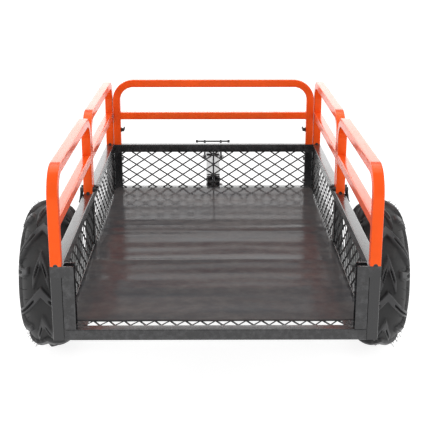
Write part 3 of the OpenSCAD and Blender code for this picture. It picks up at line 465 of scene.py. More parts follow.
mesh_coat = powder_coat("black_mesh_finish", (0.006, 0.006, 0.0065), (0.10, 0.10, 0.105),
                        0.36, 0.0016, 0.00005, 0.08, 0.10)
LONG_PITCH = 0.060
SHORT_PITCH = 0.040
SHEET_LAP = 0.02  # a sheet is this much wider and taller than the opening that it closes


def strand_period(strand, thick, tilt):
    """One period of a zigzag strand, from a bond up to the next and down again, in long, short and normal."""
    lean = Vector((0, math.cos(tilt), -math.sin(tilt)))
    face = Vector((0, math.sin(tilt), math.cos(tilt)))
    rise = strand * math.sin(tilt) / 2
    half, top = LONG_PITCH / 2, SHORT_PITCH / 2
    parted = strand / 2 * half / top
    widths = [strand / 2, strand, strand, strand / 2, strand, strand, strand / 2]
    stops = [(-half, strand / 4, -rise), (parted - half, strand / 2, -rise), (-parted, top - strand / 2, rise),
             (0.0, top - strand / 4, rise), (parted, top - strand / 2, rise), (half - parted, strand / 2, -rise),
             (half, strand / 4, -rise)]
    points, faces = [], []
    for stop, width in zip(stops, widths):
        middle = Vector(stop)
        points += [middle + lean * (a * width / 2) + face * (b * thick / 2)
                   for a, b in ((-1, -1), (1, -1), (1, 1), (-1, 1))]
    for k in range(len(stops) - 1):
        for c in range(4):
            d = (c + 1) % 4
            faces.append((4 * k + c, 4 * k + d, 4 * k + 4 + d, 4 * k + 4 + c))
    mesh = bpy.data.meshes.new("strand_period")
    mesh.from_pydata(points, [], faces)
    # Each side's face is turned away from the strand's own line
    fixed = bmesh.new()
    fixed.from_mesh(mesh)
    middles = [sum((v.co for v in f.verts), Vector()) / 4 for f in fixed.faces]
    for f, at in zip(list(fixed.faces), middles):
        k = f.index // 4
        axis_point = (Vector(stops[k]) + Vector(stops[k + 1])) / 2
        if f.normal.dot(at - axis_point) < 0:
            f.normal_flip()
    fixed.to_mesh(mesh)
    fixed.free()
    return bpy.data.objects.new("strand_period", mesh)


weave_tree, start, end = geometry_tree(
    "expanded_sheet", [("Width", "Float", 1.0), ("Height", "Float", 0.3), ("Columns", "Int", 10),
                       ("Rows", "Int", 10), ("Long Pitch", "Float", LONG_PITCH),
                       ("Short Pitch", "Float", SHORT_PITCH), ("Strand", "Object", None),
                       ("Finish", "Material", None)])
lattice = add_node(weave_tree, "GeometryNodeMeshGrid",
                   {"Size X": start.outputs["Width"], "Size Y": start.outputs["Height"],
                    "Vertices X": start.outputs["Columns"], "Vertices Y": start.outputs["Rows"]})
# Every other row of points is moved by half a diamond, so that the strands meet at their bonds
spot = add_node(weave_tree, "ShaderNodeSeparateXYZ",
                {0: add_node(weave_tree, "GeometryNodeInputPosition").outputs[0]})
half_short = add_node(weave_tree, "ShaderNodeMath", {0: start.outputs["Short Pitch"], 1: 0.5}, operation="MULTIPLY")
row = add_node(weave_tree, "ShaderNodeMath", {0: spot.outputs["Y"], 1: half_short.outputs[0]}, operation="DIVIDE")
row = add_node(weave_tree, "ShaderNodeMath", {0: row.outputs[0]}, operation="ROUND")
parity = add_node(weave_tree, "ShaderNodeMath", {0: row.outputs[0], 1: 2.0}, operation="FLOORED_MODULO")
half_long = add_node(weave_tree, "ShaderNodeMath", {0: start.outputs["Long Pitch"], 1: 0.5}, operation="MULTIPLY")
shift = add_node(weave_tree, "ShaderNodeMath", {0: parity.outputs[0], 1: half_long.outputs[0]},
                 operation="MULTIPLY")
offset = add_node(weave_tree, "ShaderNodeCombineXYZ", {"X": shift.outputs[0]})
staggered = add_node(weave_tree, "GeometryNodeSetPosition",
                     {"Geometry": lattice.outputs[0], "Offset": offset.outputs[0]})
strand_info = add_node(weave_tree, "GeometryNodeObjectInfo", {"Object": start.outputs["Strand"]})
strands = add_node(weave_tree, "GeometryNodeInstanceOnPoints",
                   {"Points": staggered.outputs[0], "Instance": strand_info.outputs["Geometry"]})
solid = add_node(weave_tree, "GeometryNodeRealizeInstances", {0: strands.outputs[0]})
joined = add_node(weave_tree, "GeometryNodeMergeByDistance", {"Geometry": solid.outputs[0], "Distance": 0.00002})
coated = add_node(weave_tree, "GeometryNodeSetMaterial",
                  {"Geometry": joined.outputs[0], "Material": start.outputs["Finish"]})
weave_tree.links.new(coated.outputs[0], end.inputs[0])


def expanded_sheet(name, width, height, strand, thick, tilt, place, node_name):
    """A sheet trimmed to width by height, put in place, in the stead of a CAD sheet. The cut ends are closed."""
    template = strand_period(strand, thick, math.radians(tilt))
    columns = int(math.ceil(width / LONG_PITCH / 2)) * 2 + 3
    rows = int(math.ceil(height / SHORT_PITCH)) * 2 + 5
    rows += 1 - rows % 2
    piece = grown(name, weave_tree,
                  {"Width": (columns - 1) * LONG_PITCH, "Height": (rows - 1) * SHORT_PITCH / 2,
                   "Columns": columns, "Rows": rows, "Strand": template, "Finish": mesh_coat}, None)
    bpy.data.objects.remove(template)
    work = bmesh.new()
    work.from_mesh(piece.data)
    for axis, reach in ((0, width / 2), (1, height / 2)):
        for sign in (-1, 1):
            at, out = Vector((0, 0, 0)), Vector((0, 0, 0))
            at[axis], out[axis] = sign * reach, sign
            cut = bmesh.ops.bisect_plane(work, geom=work.verts[:] + work.edges[:] + work.faces[:],
                                         plane_co=at, plane_no=out, clear_outer=True)
            rim_edges = [e for e in cut["geom_cut"] if isinstance(e, bmesh.types.BMEdge) and e.is_boundary]
            if len(rim_edges) < 3:
                bmesh.ops.contextual_create(work, geom=rim_edges)
            else:
                bmesh.ops.edgeloop_fill(work, edges=rim_edges)
    for v in work.verts:
        v.co = place(v.co)
    work.to_mesh(piece.data)
    work.free()
    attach(piece, "bed")
    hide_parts(node_name)


WALL_STRAND, WALL_THICK, WALL_TILT = 0.0062, 0.0020, 12
for side, node_name in ((-1, "side_mesh_left"), (1, "side_mesh_right")):
    low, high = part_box(node_name)
    bay = (high.y - low.y - TUBE) / 2
    for end_sign, bay_name in ((-1, "rear"), (1, "front")):
        middle = Vector(((low.x + high.x) / 2, AXLE_Y + end_sign * (bay + TUBE) / 2, (low.z + high.z) / 2))
        expanded_sheet(node_name + "_" + bay_name, bay + SHEET_LAP, high.z - low.z + SHEET_LAP, WALL_STRAND,
                       WALL_THICK, WALL_TILT, lambda p: middle + Vector((side * p.z, side * p.x, p.y)), node_name)
low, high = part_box("front_mesh")
front_mid = (low + high) / 2
expanded_sheet("front_mesh_sheet", high.x - low.x + SHEET_LAP, high.z - low.z + SHEET_LAP, WALL_STRAND,
               WALL_THICK, WALL_TILT, lambda p: front_mid + Vector((p.x, -p.z, p.y)), "front_mesh")
low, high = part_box("floor_mesh")
FLOOR_STRAND, FLOOR_THICK, FLOOR_TILT = 0.0052, 0.0017, 10
floor_mid = (low + high) / 2
floor_mid.z = high.z - (FLOOR_STRAND * math.sin(math.radians(FLOOR_TILT))
                        + FLOOR_THICK / 2 * math.cos(math.radians(FLOOR_TILT)))
expanded_sheet("floor_mesh_sheet", high.y - low.y, high.x - low.x, FLOOR_STRAND, FLOOR_THICK, FLOOR_TILT,
               lambda p: floor_mid + Vector((-p.y, p.x, p.z)), "floor_mesh")


# ---------- Rubber floor mat ----------
# A 4 mm sheet of black rubber, cut to the bed and laid on the floor mesh. It was rolled up for shipping, so
# it keeps soft waves across its length, and its skin is smooth with a faint grain.

MAT_LOW, MAT_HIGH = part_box("floor_mat")
MAT_THICK = MAT_HIGH.z - MAT_LOW.z
MAT_COLUMNS, MAT_ROWS = 72, 190


def mat_lift(x, y):
    """How far the sheet stands off the mesh, in metres: waves left by the roll, and two soft creases."""
    along = (y - MAT_LOW.y) / (MAT_HIGH.y - MAT_LOW.y)
    wander = 0.018 * math.sin(4.1 * x + 1.3) + 0.009 * math.sin(11 * x + 0.4)
    waves = 0.0006 * (1 + math.sin(2 * math.pi * (y + wander) / 0.205 + 0.6))
    waves += 0.00022 * (1 + math.sin(2 * math.pi * (y - 0.6 * wander) / 0.083 + 1.9))
    waves *= 0.45 + 0.55 * math.sin(math.pi * along) ** 0.6
    crease = 0.0024 * math.exp(-(((y + 0.262) + 0.3 * wander) / 0.022) ** 2) * (0.7 + 0.3 * math.sin(5 * x))
    fold = 0.0018 * math.exp(-(((y + 0.591) - 0.3 * wander) / 0.016) ** 2) * (0.6 + 0.4 * math.cos(6 * x + 1))
    cross = 0.0004 * (1 + math.sin(2 * math.pi * (x + 0.05 * y) / 0.27))
    hold = min(1.0, (MAT_HIGH.x - abs(x)) / 0.03 + 0.35)
    return (waves + crease + fold + cross) * hold


mat_points, mat_faces = [], []
for top in (0, 1):
    for j in range(MAT_ROWS + 1):
        y = MAT_LOW.y + (MAT_HIGH.y - MAT_LOW.y) * j / MAT_ROWS
        for i in range(MAT_COLUMNS + 1):
            x = MAT_LOW.x + (MAT_HIGH.x - MAT_LOW.x) * i / MAT_COLUMNS
            mat_points.append((x, y, MAT_LOW.z + top * MAT_THICK + mat_lift(x, y)))
wide, deep = MAT_COLUMNS + 1, MAT_ROWS + 1
upper = wide * deep
for j in range(MAT_ROWS):
    for i in range(MAT_COLUMNS):
        a = j * wide + i
        mat_faces.append((a + wide, a + wide + 1, a + 1, a))
        mat_faces.append((upper + a, upper + a + 1, upper + a + wide + 1, upper + a + wide))
rim_loop = list(range(wide)) + [j * wide + wide - 1 for j in range(1, deep)]
rim_loop += [(deep - 1) * wide + i for i in range(wide - 2, -1, -1)] + [j * wide for j in range(deep - 2, 0, -1)]
for k, a in enumerate(rim_loop):
    b = rim_loop[(k + 1) % len(rim_loop)]
    mat_faces.append((a, b, upper + b, upper + a))
mat_mesh = bpy.data.meshes.new("floor_mat_sheet")
mat_mesh.from_pydata(mat_points, [], mat_faces)
for polygon in mat_mesh.polygons:
    polygon.use_smooth = abs(polygon.normal.z) > 0.5
floor_mat_sheet = linked("floor_mat_sheet", mat_mesh)

mat_rubber, tree, shader, place = blank_finish("mat_rubber_finish")
grain = add_node(tree, "ShaderNodeTexNoise", {"Vector": place, "Scale": 420.0, "Detail": 3.0, "Roughness": 0.6})
stretch = add_node(tree, "ShaderNodeMapping", {"Vector": place, "Scale": (2.2, 9.0, 1.0)})
streaks = add_node(tree, "ShaderNodeTexNoise", {"Vector": stretch.outputs[0], "Scale": 1.6, "Detail": 5.0,
                                                "Roughness": 0.6})
bloom = add_node(tree, "ShaderNodeMapRange", {"Value": streaks.outputs["Fac"], "From Min": 0.35, "From Max": 0.7})
rubber = add_node(tree, "ShaderNodeMix", {"Factor": bloom.outputs[0], 6: (0.055, 0.056, 0.060, 1),
                                          7: (0.078, 0.070, 0.069, 1)}, data_type="RGBA")
sheen = add_node(tree, "ShaderNodeMapRange", {"Value": streaks.outputs["Fac"], "From Min": 0.3, "From Max": 0.7,
                                              "To Min": 0.07, "To Max": 0.15})
surface(tree, shader, dusted_over(tree, place, rubber.outputs[2], sheen.outputs[0], 0.10),
        grain.outputs["Fac"], 0.22, 0.0002)
shader.inputs["IOR"].default_value = 1.09
mat_mesh.materials.append(mat_rubber)
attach(floor_mat_sheet, "bed")
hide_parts("floor_mat")


# ---------- Guard rails ----------
# Five hoops of 28 mm square tube with a middle bar, cold-bent, welded and powder-coated orange. The tube's
# inner wall wrinkles a little in each bend. The side rails' feet have a half-round drain notch.

RAIL_TUBE = 0.028
RAIL_WALL = 0.0015
RAIL_CORNER = 0.003
RAIL_BEND = 0.066
MID_BAR = 0.112
MID_TUBE = 0.0272
BEND_STEPS = 44
LEG_STEPS = 6
TOP_STEPS = 8
RIPPLES, RIPPLE_DEPTH, PRESSED_IN = 5, 0.0011, 0.0006
DRAIN_R = 0.006
BAR_LAP = 0.001
SEAM_SINK = 0.0012

# The orange coat's corners are painted a brighter, yellower orange: a painted highlight along them, over rubbed
# coat.
orange_coat = powder_coat("orange_powder_coat_finish", (0.84, 0.080, 0.009), (0.92, 0.20, 0.04),
                          0.22, 0.0026, 0.00007, 0.03, 0.08)
orange_coat.node_tree.nodes["Principled BSDF"].inputs["Specular Tint"].default_value = (1.0, 0.50, 0.16, 1)


def square_ring(size, corner, steps):
    """Points round a square tube's section with rounded corners, across and out of the bend's plane."""
    ring = []
    flat = size / 2 - corner
    middles = [Vector((flat * x, flat * y)) for x, y in ((1, 1), (-1, 1), (-1, -1), (1, -1))]
    for quarter in range(4):
        for k in range(steps + 1):
            turn = math.radians(90 * quarter + 90 * k / steps)
            ring.append(middles[quarter] + corner * Vector((math.cos(turn), math.sin(turn))))
        turn = math.radians(90 * quarter + 90)
        reach = corner * Vector((math.cos(turn), math.sin(turn)))
        begin, finish = middles[quarter] + reach, middles[(quarter + 1) % 4] + reach
        ring += [begin + (finish - begin) * t / 4 for t in (1, 2, 3)]
    return ring


def hoop_path(length, height):
    """Stations from one foot over the hoop to the other: point, direction, and depth in the bend from 0 to 1."""
    leg = length / 2 - RAIL_TUBE / 2
    top = height - RAIL_TUBE / 2
    stations = [(Vector((-leg, 0, (top - RAIL_BEND) * k / LEG_STEPS)), Vector((0, 0, 1)), 0.0)
                for k in range(LEG_STEPS)]
    for k in range(BEND_STEPS + 1):
        turn = math.pi / 2 * k / BEND_STEPS
        stations.append((Vector((-leg + RAIL_BEND - RAIL_BEND * math.cos(turn), 0,
                                 top - RAIL_BEND + RAIL_BEND * math.sin(turn))),
                         Vector((math.sin(turn), 0, math.cos(turn))), k / BEND_STEPS))
    for k in range(1, TOP_STEPS):
        stations.append((Vector((-leg + RAIL_BEND + (2 * leg - 2 * RAIL_BEND) * k / TOP_STEPS, 0, top)),
                         Vector((1, 0, 0)), 0.0))
    for k in range(BEND_STEPS + 1):
        turn = math.pi / 2 * k / BEND_STEPS
        stations.append((Vector((leg - RAIL_BEND + RAIL_BEND * math.sin(turn), 0,
                                 top - RAIL_BEND + RAIL_BEND * math.cos(turn))),
                         Vector((math.cos(turn), 0, -math.sin(turn))), k / BEND_STEPS))
    stations += [(Vector((leg, 0, (top - RAIL_BEND) * (LEG_STEPS - 1 - k) / LEG_STEPS)), Vector((0, 0, -1)), 0.0)
                 for k in range(LEG_STEPS)]
    return stations


def wrinkle(section, depth, size):
    """The inner wall pressed in by ripples that fade out at the ends of a bend."""
    inward = -section.x / (size / 2)
    if inward < 0.9 or not 0 < depth < 1:
        return 0.0
    fade = math.sin(math.pi * depth) ** 0.8
    across = 1 - abs(section.y) / (size / 2)
    ripple = RIPPLE_DEPTH * (1 - math.cos(2 * math.pi * RIPPLES * depth)) / 2
    return fade * (ripple + PRESSED_IN) * min(1, across * 3)


def swept(work, stations, size, corner, outward):
    """A square tube's skin along the stations. Returns its rows of corners."""
    ring = square_ring(size, corner, 5)
    rows = []
    for place, heading, depth in stations:
        outside = Vector((-heading.z, 0, heading.x))
        rows.append([work.verts.new(place + outside * (p.x + (wrinkle(p, depth, size) if p.x < 0 else 0))
                                    + Vector((0, p.y, 0))) for p in ring])
    for a, b in zip(rows, rows[1:]):
        for k in range(len(ring)):
            m = (k + 1) % len(ring)
            quad = (a[k], a[m], b[m], b[k])
            work.faces.new(quad if outward else quad[::-1])
    return rows


def notch_feet(hoop, leg):
    """Cuts a half-round drain notch across each foot of a hoop."""
    cutter_mesh = bpy.data.meshes.new("notch_cutter")
    cut = bmesh.new()
    for side in (-1, 1):
        before = len(cut.verts)
        bmesh.ops.create_cone(cut, cap_ends=True, segments=32, radius1=DRAIN_R, radius2=DRAIN_R, depth=0.04)
        cut.verts.ensure_lookup_table()
        for v in cut.verts[before:]:
            v.co = Vector((v.co.z + side * leg, v.co.x, v.co.y))
    cut.to_mesh(cutter_mesh)
    cut.free()
    cutter = linked("notch_cutter", cutter_mesh)
    notch = hoop.modifiers.new("notch", "BOOLEAN")
    notch.operation = "DIFFERENCE"
    notch.solver = "EXACT"
    notch.object = cutter
    done = bpy.data.meshes.new_from_object(hoop.evaluated_get(bpy.context.evaluated_depsgraph_get()))
    hoop.modifiers.clear()
    hoop.data = done
    bpy.data.objects.remove(cutter)


def guard_rail(name, node_name, body, crosswise, notched):
    """A hoop of tube with its hollow, cut by its drain notches, and its middle bar set between the legs."""
    low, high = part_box(node_name)
    middle = (low + high) / 2
    length = (high.x - low.x) if crosswise else (high.y - low.y)
    work = bmesh.new()
    stations = hoop_path(length, high.z - low.z)
    outside = swept(work, stations, RAIL_TUBE, RAIL_CORNER, True)
    inside = swept(work, stations, RAIL_TUBE - 2 * RAIL_WALL, RAIL_CORNER - RAIL_WALL, False)
    count = len(outside[0])
    for row_out, row_in, flip in ((outside[0], inside[0], False), (outside[-1], inside[-1], True)):
        for k in range(count):
            m = (k + 1) % count
            quad = (row_out[m], row_out[k], row_in[k], row_in[m])
            work.faces.new(quad[::-1] if flip else quad)
    bmesh.ops.recalc_face_normals(work, faces=work.faces)
    mesh = bpy.data.meshes.new(name)
    work.to_mesh(mesh)
    work.free()
    hoop = linked(name, mesh)
    leg = length / 2 - RAIL_TUBE / 2
    if notched:
        notch_feet(hoop, leg)
    whole = bmesh.new()
    whole.from_mesh(hoop.data)
    bar_ring = square_ring(MID_TUBE, RAIL_CORNER, 5)
    ends = []
    for x in (-leg + RAIL_TUBE / 2 - BAR_LAP, leg - RAIL_TUBE / 2 + BAR_LAP):
        ends.append([whole.verts.new(Vector((x, p.x, MID_BAR + p.y))) for p in bar_ring])
    for k in range(len(bar_ring)):
        m = (k + 1) % len(bar_ring)
        whole.faces.new((ends[0][k], ends[0][m], ends[1][m], ends[1][k]))
    whole.faces.new(ends[0][::-1])
    whole.faces.new(ends[1])
    bar_faces = whole.faces[-(len(bar_ring) + 2):]
    bmesh.ops.recalc_face_normals(whole, faces=bar_faces)
    for v in whole.verts:
        v.co = Vector((middle.x + v.co.x, middle.y + v.co.y, low.z + v.co.z)) if crosswise else \
            Vector((middle.x - v.co.y, middle.y + v.co.x, low.z + v.co.z))
    for face in whole.faces:
        face.smooth = True
    for edge in whole.edges:
        edge.smooth = edge.is_manifold and edge.calc_face_angle(0) < math.radians(35)
    final = bpy.data.meshes.new(name)
    whole.to_mesh(final)
    whole.free()
    hoop.data = final
    final.materials.append(orange_coat)
    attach(hoop, body)
    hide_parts(node_name)
    seams = []
    half = MID_TUBE / 2 - SEAM_SINK
    for side in (-1, 1):
        x = side * (leg - RAIL_TUBE / 2)
        corners = [(x, a * half, MID_BAR + b * half) for a, b in ((-1, -1), (1, -1), (1, 1), (-1, 1))]
        corners = [(middle.x + c[0], middle.y + c[1], low.z + c[2]) if crosswise else
                   (middle.x - c[1], middle.y + c[0], low.z + c[2]) for c in corners]
        seams += [(corners[k], corners[(k + 1) % 4]) for k in range(4)]
    grown(name + "_beads", bead_tree, {"Drop Pitch": 0.0028, "Drop Radius": 0.0018, "Finish": orange_coat},
          body, path_mesh(name + "_seams", seams))


guard_rail("front_rail_hoop", "front_rail", "rail_front", True, False)
for side in ("left", "right"):
    for end_name in ("rear", "front"):
        guard_rail(side + "_" + end_name + "_rail_hoop", side + "_" + end_name + "_rail",
                   "rail_" + side + "_" + end_name, False, True)


# ---------- Clamp screws and levers ----------
# Wing screws hold the front rail on its spigots, and a hanging lever and a hexagon screw hold each side
# rail at the bed's middle. They are moulded or coated black, satin and a little worn, with a painted highlight on
# their corners.

black_plastic, tree, shader, place = blank_finish("black_plastic_finish")
mottle = add_node(tree, "ShaderNodeTexNoise", {"Vector": place, "Scale": 700.0, "Detail": 2.0})
plastic = blended(tree, mottle, (0.011, 0.011, 0.012), (0.02, 0.02, 0.021))
# The plastic's corners are painted lighter: partly rubbed plastic, partly a painted highlight.
surface(tree, shader, {"Base Color": wear_and_highlight_on_corners(tree, place, plastic, (0.07, 0.07, 0.072))},
        mottle.outputs["Fac"], 0.4, 0.0001)
shader.inputs["Roughness"].default_value = 0.42

joined_copy("front_rail_wing_screws", "front_rail_wing_screw_set", black_plastic, "rail_front", 40)
for side in ("left", "right"):
    for end_name in ("rear", "front"):
        refinished(side + "_" + end_name + "_rail_clamps", black_plastic)


# ---------- Bolts, pins and axle steel ----------
# Bright zinc-plated steel: bolts, nuts, U-bolts, washers, cotter pins, the axle shaft and its spacers. The
# plating is faintly cloudy with a bluish cast and a fine grain.

zinc_plate, tree, shader, place = blank_finish("zinc_steel_finish")
cloud = add_node(tree, "ShaderNodeTexNoise", {"Vector": place, "Scale": 60.0, "Detail": 6.0, "Roughness": 0.65})
zinc = blended(tree, cloud, (0.50, 0.51, 0.53), (0.66, 0.66, 0.65))
sheen = add_node(tree, "ShaderNodeMapRange", {"Value": cloud.outputs["Fac"], "From Min": 0.3, "From Max": 0.7,
                                              "To Min": 0.26, "To Max": 0.42})
fine = add_node(tree, "ShaderNodeTexNoise", {"Vector": place, "Scale": 1800.0, "Detail": 2.0})
surface(tree, shader, dusted_over(tree, place, zinc, sheen.outputs[0], 0.12), fine.outputs["Fac"], 0.2, 0.00005)
shader.inputs["Metallic"].default_value = 1.0

for hardware in ("panel_bolts", "pivot_bolt", "axle_shaft", "axle_spacers", "axle_washers", "cotter_pins",
                 "u_bolts", "u_bolt_nuts", "latch_pin", "handle_bolt", "hub_left", "hub_right",
                 "bearings_left", "bearings_right"):
    refinished(hardware, zinc_plate)


# ---------- Undercarriage ----------
# A square axle beam with a drawbar clamped across it by a saddle plate and two U-bolts, box brackets that
# carry the bed on rubber pads, and a two-plate clevis. All of it is welded steel in the same gloss black.

for part in ("drawbar", "axle_beam", "axle_saddle", "bed_rests", "hitch_clevis"):
    joined_copy(part, part + "_welded", black_coat, "undercarriage")

black_rubber, tree, shader, place = blank_finish("black_rubber_finish")
pebble = add_node(tree, "ShaderNodeTexVoronoi", {"Vector": place, "Scale": 900.0})
tone = add_node(tree, "ShaderNodeTexNoise", {"Vector": place, "Scale": 40.0, "Detail": 4.0})
rubber = blended(tree, tone, (0.016, 0.016, 0.016), (0.027, 0.026, 0.026))
surface(tree, shader, {"Base Color": rubber}, pebble.outputs["Distance"], 0.35, 0.0002)
shader.inputs["Roughness"].default_value = 0.62
for part in ("rest_pads", "valve_stem_left", "valve_stem_right"):
    refinished(part, black_rubber)


# ---------- Latch ----------
# A sprung plate on the drawbar whose nose turns over a lip on the bed. Its torsion spring is wound from
# 1.6 mm wire round the end of the pin, and the plate, bracket and lip are coated black.

for part in ("latch_bracket", "latch_lever"):
    refinished(part, black_coat)

spring_tree, start, end = geometry_tree(
    "torsion_spring", [("Turns", "Float", 4.0), ("Radius", "Float", 0.005), ("Length", "Float", 0.006),
                       ("Wire Radius", "Float", 0.0008), ("Finish", "Material", None)])
coil = add_node(spring_tree, "GeometryNodeCurveSpiral",
                {"Resolution": 28, "Rotations": start.outputs["Turns"], "Start Radius": start.outputs["Radius"],
                 "End Radius": start.outputs["Radius"], "Height": start.outputs["Length"]})
wire = add_node(spring_tree, "GeometryNodeCurvePrimitiveCircle",
                {"Resolution": 8, "Radius": start.outputs["Wire Radius"]})
wound = add_node(spring_tree, "GeometryNodeCurveToMesh",
                 {"Curve": coil.outputs[0], "Profile Curve": wire.outputs["Curve"], "Fill Caps": True})
laid = add_node(spring_tree, "GeometryNodeTransform",
                {"Geometry": wound.outputs[0], "Rotation": (0, math.pi / 2, 0)})
laid_smooth = add_node(spring_tree, "GeometryNodeSetShadeSmooth", {0: laid.outputs[0]})
plated = add_node(spring_tree, "GeometryNodeSetMaterial",
                  {"Geometry": laid_smooth.outputs[0], "Material": start.outputs["Finish"]})
spring_tree.links.new(plated.outputs[0], end.inputs[0])
WIRE_R, SPRING_TURNS, END_ROOM = 0.0008, 3.6, 0.0009
low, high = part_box("latch_spring")
spring_body = next(b for b, members in frame["record"]["behaviour"]["bodies"].items() if "latch_spring" in members)
spring = grown("latch_spring_coil", spring_tree,
               {"Turns": SPRING_TURNS, "Radius": (high.z - low.z) / 2 - 0.001,
                "Length": high.x - low.x - 2 * END_ROOM, "Wire Radius": WIRE_R, "Finish": zinc_plate}, None)
for v in spring.data.vertices:
    v.co = v.co + Vector((low.x + END_ROOM, (low.y + high.y) / 2, (low.z + high.z) / 2))
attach(spring, spring_body)
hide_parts("latch_spring")


# ---------- Pull handle ----------
# Two round rods with eyes fold on a bolt through the drawbar, and a thinner crossbar is welded through
# their ends. They are coated black, and soft black rubber caps are pushed over the crossbar's ends.

refinished("handle_loop", black_coat)

grip_rubber, tree, shader, place = blank_finish("grip_rubber_finish")
sweat = add_node(tree, "ShaderNodeTexNoise", {"Vector": place, "Scale": 90.0, "Detail": 4.0, "Roughness": 0.6})
rubber = blended(tree, sweat, (0.013, 0.013, 0.013), (0.024, 0.024, 0.025))
sheen = add_node(tree, "ShaderNodeMapRange", {"Value": sweat.outputs["Fac"], "To Min": 0.5, "To Max": 0.72})
weave = add_node(tree, "ShaderNodeTexNoise", {"Vector": place, "Scale": 1500.0, "Detail": 2.0})
surface(tree, shader, {"Base Color": rubber, "Roughness": sheen.outputs[0]}, weave.outputs["Fac"], 0.4, 0.0001)
refinished("handle_end_caps", grip_rubber)


# ---------- Tyres ----------
# Two 19 inch turf tyres, moulded in black rubber. Seven long chevrons reach the shoulders and end in sunk
# pockets, with a short steep chevron and a pair of crescent lugs between each two. Fine vent hairs remain.

TYRE_LOW, TYRE_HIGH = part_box("tyre_right")
TYRE_R = (TYRE_HIGH.z - TYRE_LOW.z) / 2
TYRE_HALF = (TYRE_HIGH.x - TYRE_LOW.x) / 2
RIM_LOW, RIM_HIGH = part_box("rim_right")
RIM_LIP, FLANGE = 0.012, 0.003
SEAT_R = (RIM_HIGH.z - RIM_LOW.z) / 2 - RIM_LIP
BEAD_HALF = (RIM_HIGH.x - RIM_LOW.x) / 2 - FLANGE
SHOULDER = 0.068
TREAD_DEPTH = 0.0115
PERIODS = 7
PERIOD_STEPS = 84
STEPS_ROUND = PERIODS * PERIOD_STEPS
LINER = 0.017  # from the shoulder's skin in to the liner
WALL_SHADE_LEVEL = 0.7  # how light the plain sidewall is painted, between the grooves' painted shade at 0 and the lug tops' lighter rubber at 1
HAIR_ROOT = 0.004
HAIRS_ROUND = 46


def eased(x, low, high):
    """0 below the low end, 1 above the high end, and a smooth rise between them."""
    t = min(1.0, max(0.0, (x - low) / (high - low)))
    return t * t * (3 - 2 * t)


def band(distance, half, slope):
    """1 inside a strip of that half width, falling to 0 over the slope."""
    return 1 - eased(abs(distance), half - slope / 2, half + slope / 2)


def tread_height(turn, run):
    """Height of the tread over the casing from 0 to 1, by the place in a period and by mm along the skin."""
    pitch = 2 * math.pi * TYRE_R * 1000 / PERIODS
    a = turn * pitch
    s = run * 0.93
    height = 0.0
    for shift in (-pitch, 0, pitch):
        b = a + shift
        # Long chevron arm, wide at the middle, with a sunk pocket along it
        long_arm = b + 1.28 * s - 0.0016 * s * s
        lug = band(long_arm, 17.0 - 0.03 * s, 2.6) * (1 - eased(s, 92, 97))
        sunk = band(long_arm + 2.0, 3.8, 2.4) * eased(s, 20, 24) * (1 - eased(s, 80, 84))
        height = max(height, lug * (1 - 0.95 * sunk))
        # Short steep chevron, half a period on
        c = b - 0.5 * pitch
        short_arm = c + 3.3 * s
        lug = band(short_arm, 24, 5) * (1 - eased(s, 22, 26))
        sunk = band(short_arm + 4, 6, 4) * eased(s, 4, 6) * (1 - eased(s, 16, 19))
        height = max(height, lug * (1 - 0.9 * sunk))
        # Crescent lug beside it, out to the shoulder
        crescent = c + 0.55 * s + 18 - 0.012 * (s - 40) ** 2
        lug = band(crescent, 15 + 0.10 * (s - 60), 2.6) * eased(s, 36, 41) * (1 - eased(s, 97, 102))
        sunk = band(crescent - 1, 5.5, 2.6) * eased(s, 62, 67) * (1 - eased(s, 85, 89))
        height = max(height, lug * (1 - 0.85 * sunk))
    return height


def tyre_profile():
    """Section of the casing from bead to bead: radius, across, tread share, run along the skin and its lean."""
    half = []
    crown = TYRE_HALF - SHOULDER
    for k in range(4):
        half.append((TYRE_R, crown * k / 4, 1.0, crown * k / 4, 0.0))
    for k in range(43):
        lean = math.pi / 2 * k / 42
        half.append((TYRE_R - SHOULDER + SHOULDER * math.cos(lean), crown + SHOULDER * math.sin(lean),
                     1 - eased(lean, 1.36, 1.5), crown + SHOULDER * lean, lean))
    wall_top = TYRE_R - SHOULDER
    wall_low = SEAT_R + 0.6 * (wall_top - SEAT_R)
    for k in range(1, 4):
        half.append((wall_top + (wall_low - wall_top) * k / 3, TYRE_HALF, 0.0, 0.0, 0.0))
    for t in (0.12, 0.2, 0.4, 0.6, 0.8, 1.0):
        r = wall_low + (SEAT_R + 0.016 - wall_low) * t
        rib = 0.0004 if t in (0.2, 0.8) else 0.0
        half.append((r, TYRE_HALF + (BEAD_HALF - TYRE_HALF) * t ** 1.6 - 0.0004 + rib, 0.0, 0.0, 0.0))
    half.append((SEAT_R + 0.0005, BEAD_HALF - 0.0004, 0.0, 0.0, 0.0))
    return [(r, -x, share, run, lean) for r, x, share, run, lean in half[:0:-1]] + half


casing = tyre_profile()
inner_skin = [(SEAT_R + 0.0005, BEAD_HALF - 0.010), (SEAT_R + 0.02, BEAD_HALF - 0.009),
              (SEAT_R + 0.048, TYRE_HALF - 0.009)]
inner_skin += [(TYRE_R - SHOULDER + (SHOULDER - LINER) * math.cos(lean),
                TYRE_HALF - SHOULDER + (SHOULDER - LINER) * math.sin(lean)) for lean in (1.2, 0.8, 0.4, 0.0)]
inner_skin += [(r, -x) for r, x in inner_skin[::-1]]

tyre_rubber, tree, shader, place = blank_finish("tyre_finish")
mould = add_node(tree, "ShaderNodeTexNoise", {"Vector": place, "Scale": 700.0, "Detail": 3.0, "Roughness": 0.6})
cast = add_node(tree, "ShaderNodeTexNoise", {"Vector": place, "Scale": 14.0, "Detail": 5.0, "Roughness": 0.6})
rubber = blended(tree, cast, (0.020, 0.020, 0.0215), (0.034, 0.034, 0.036))
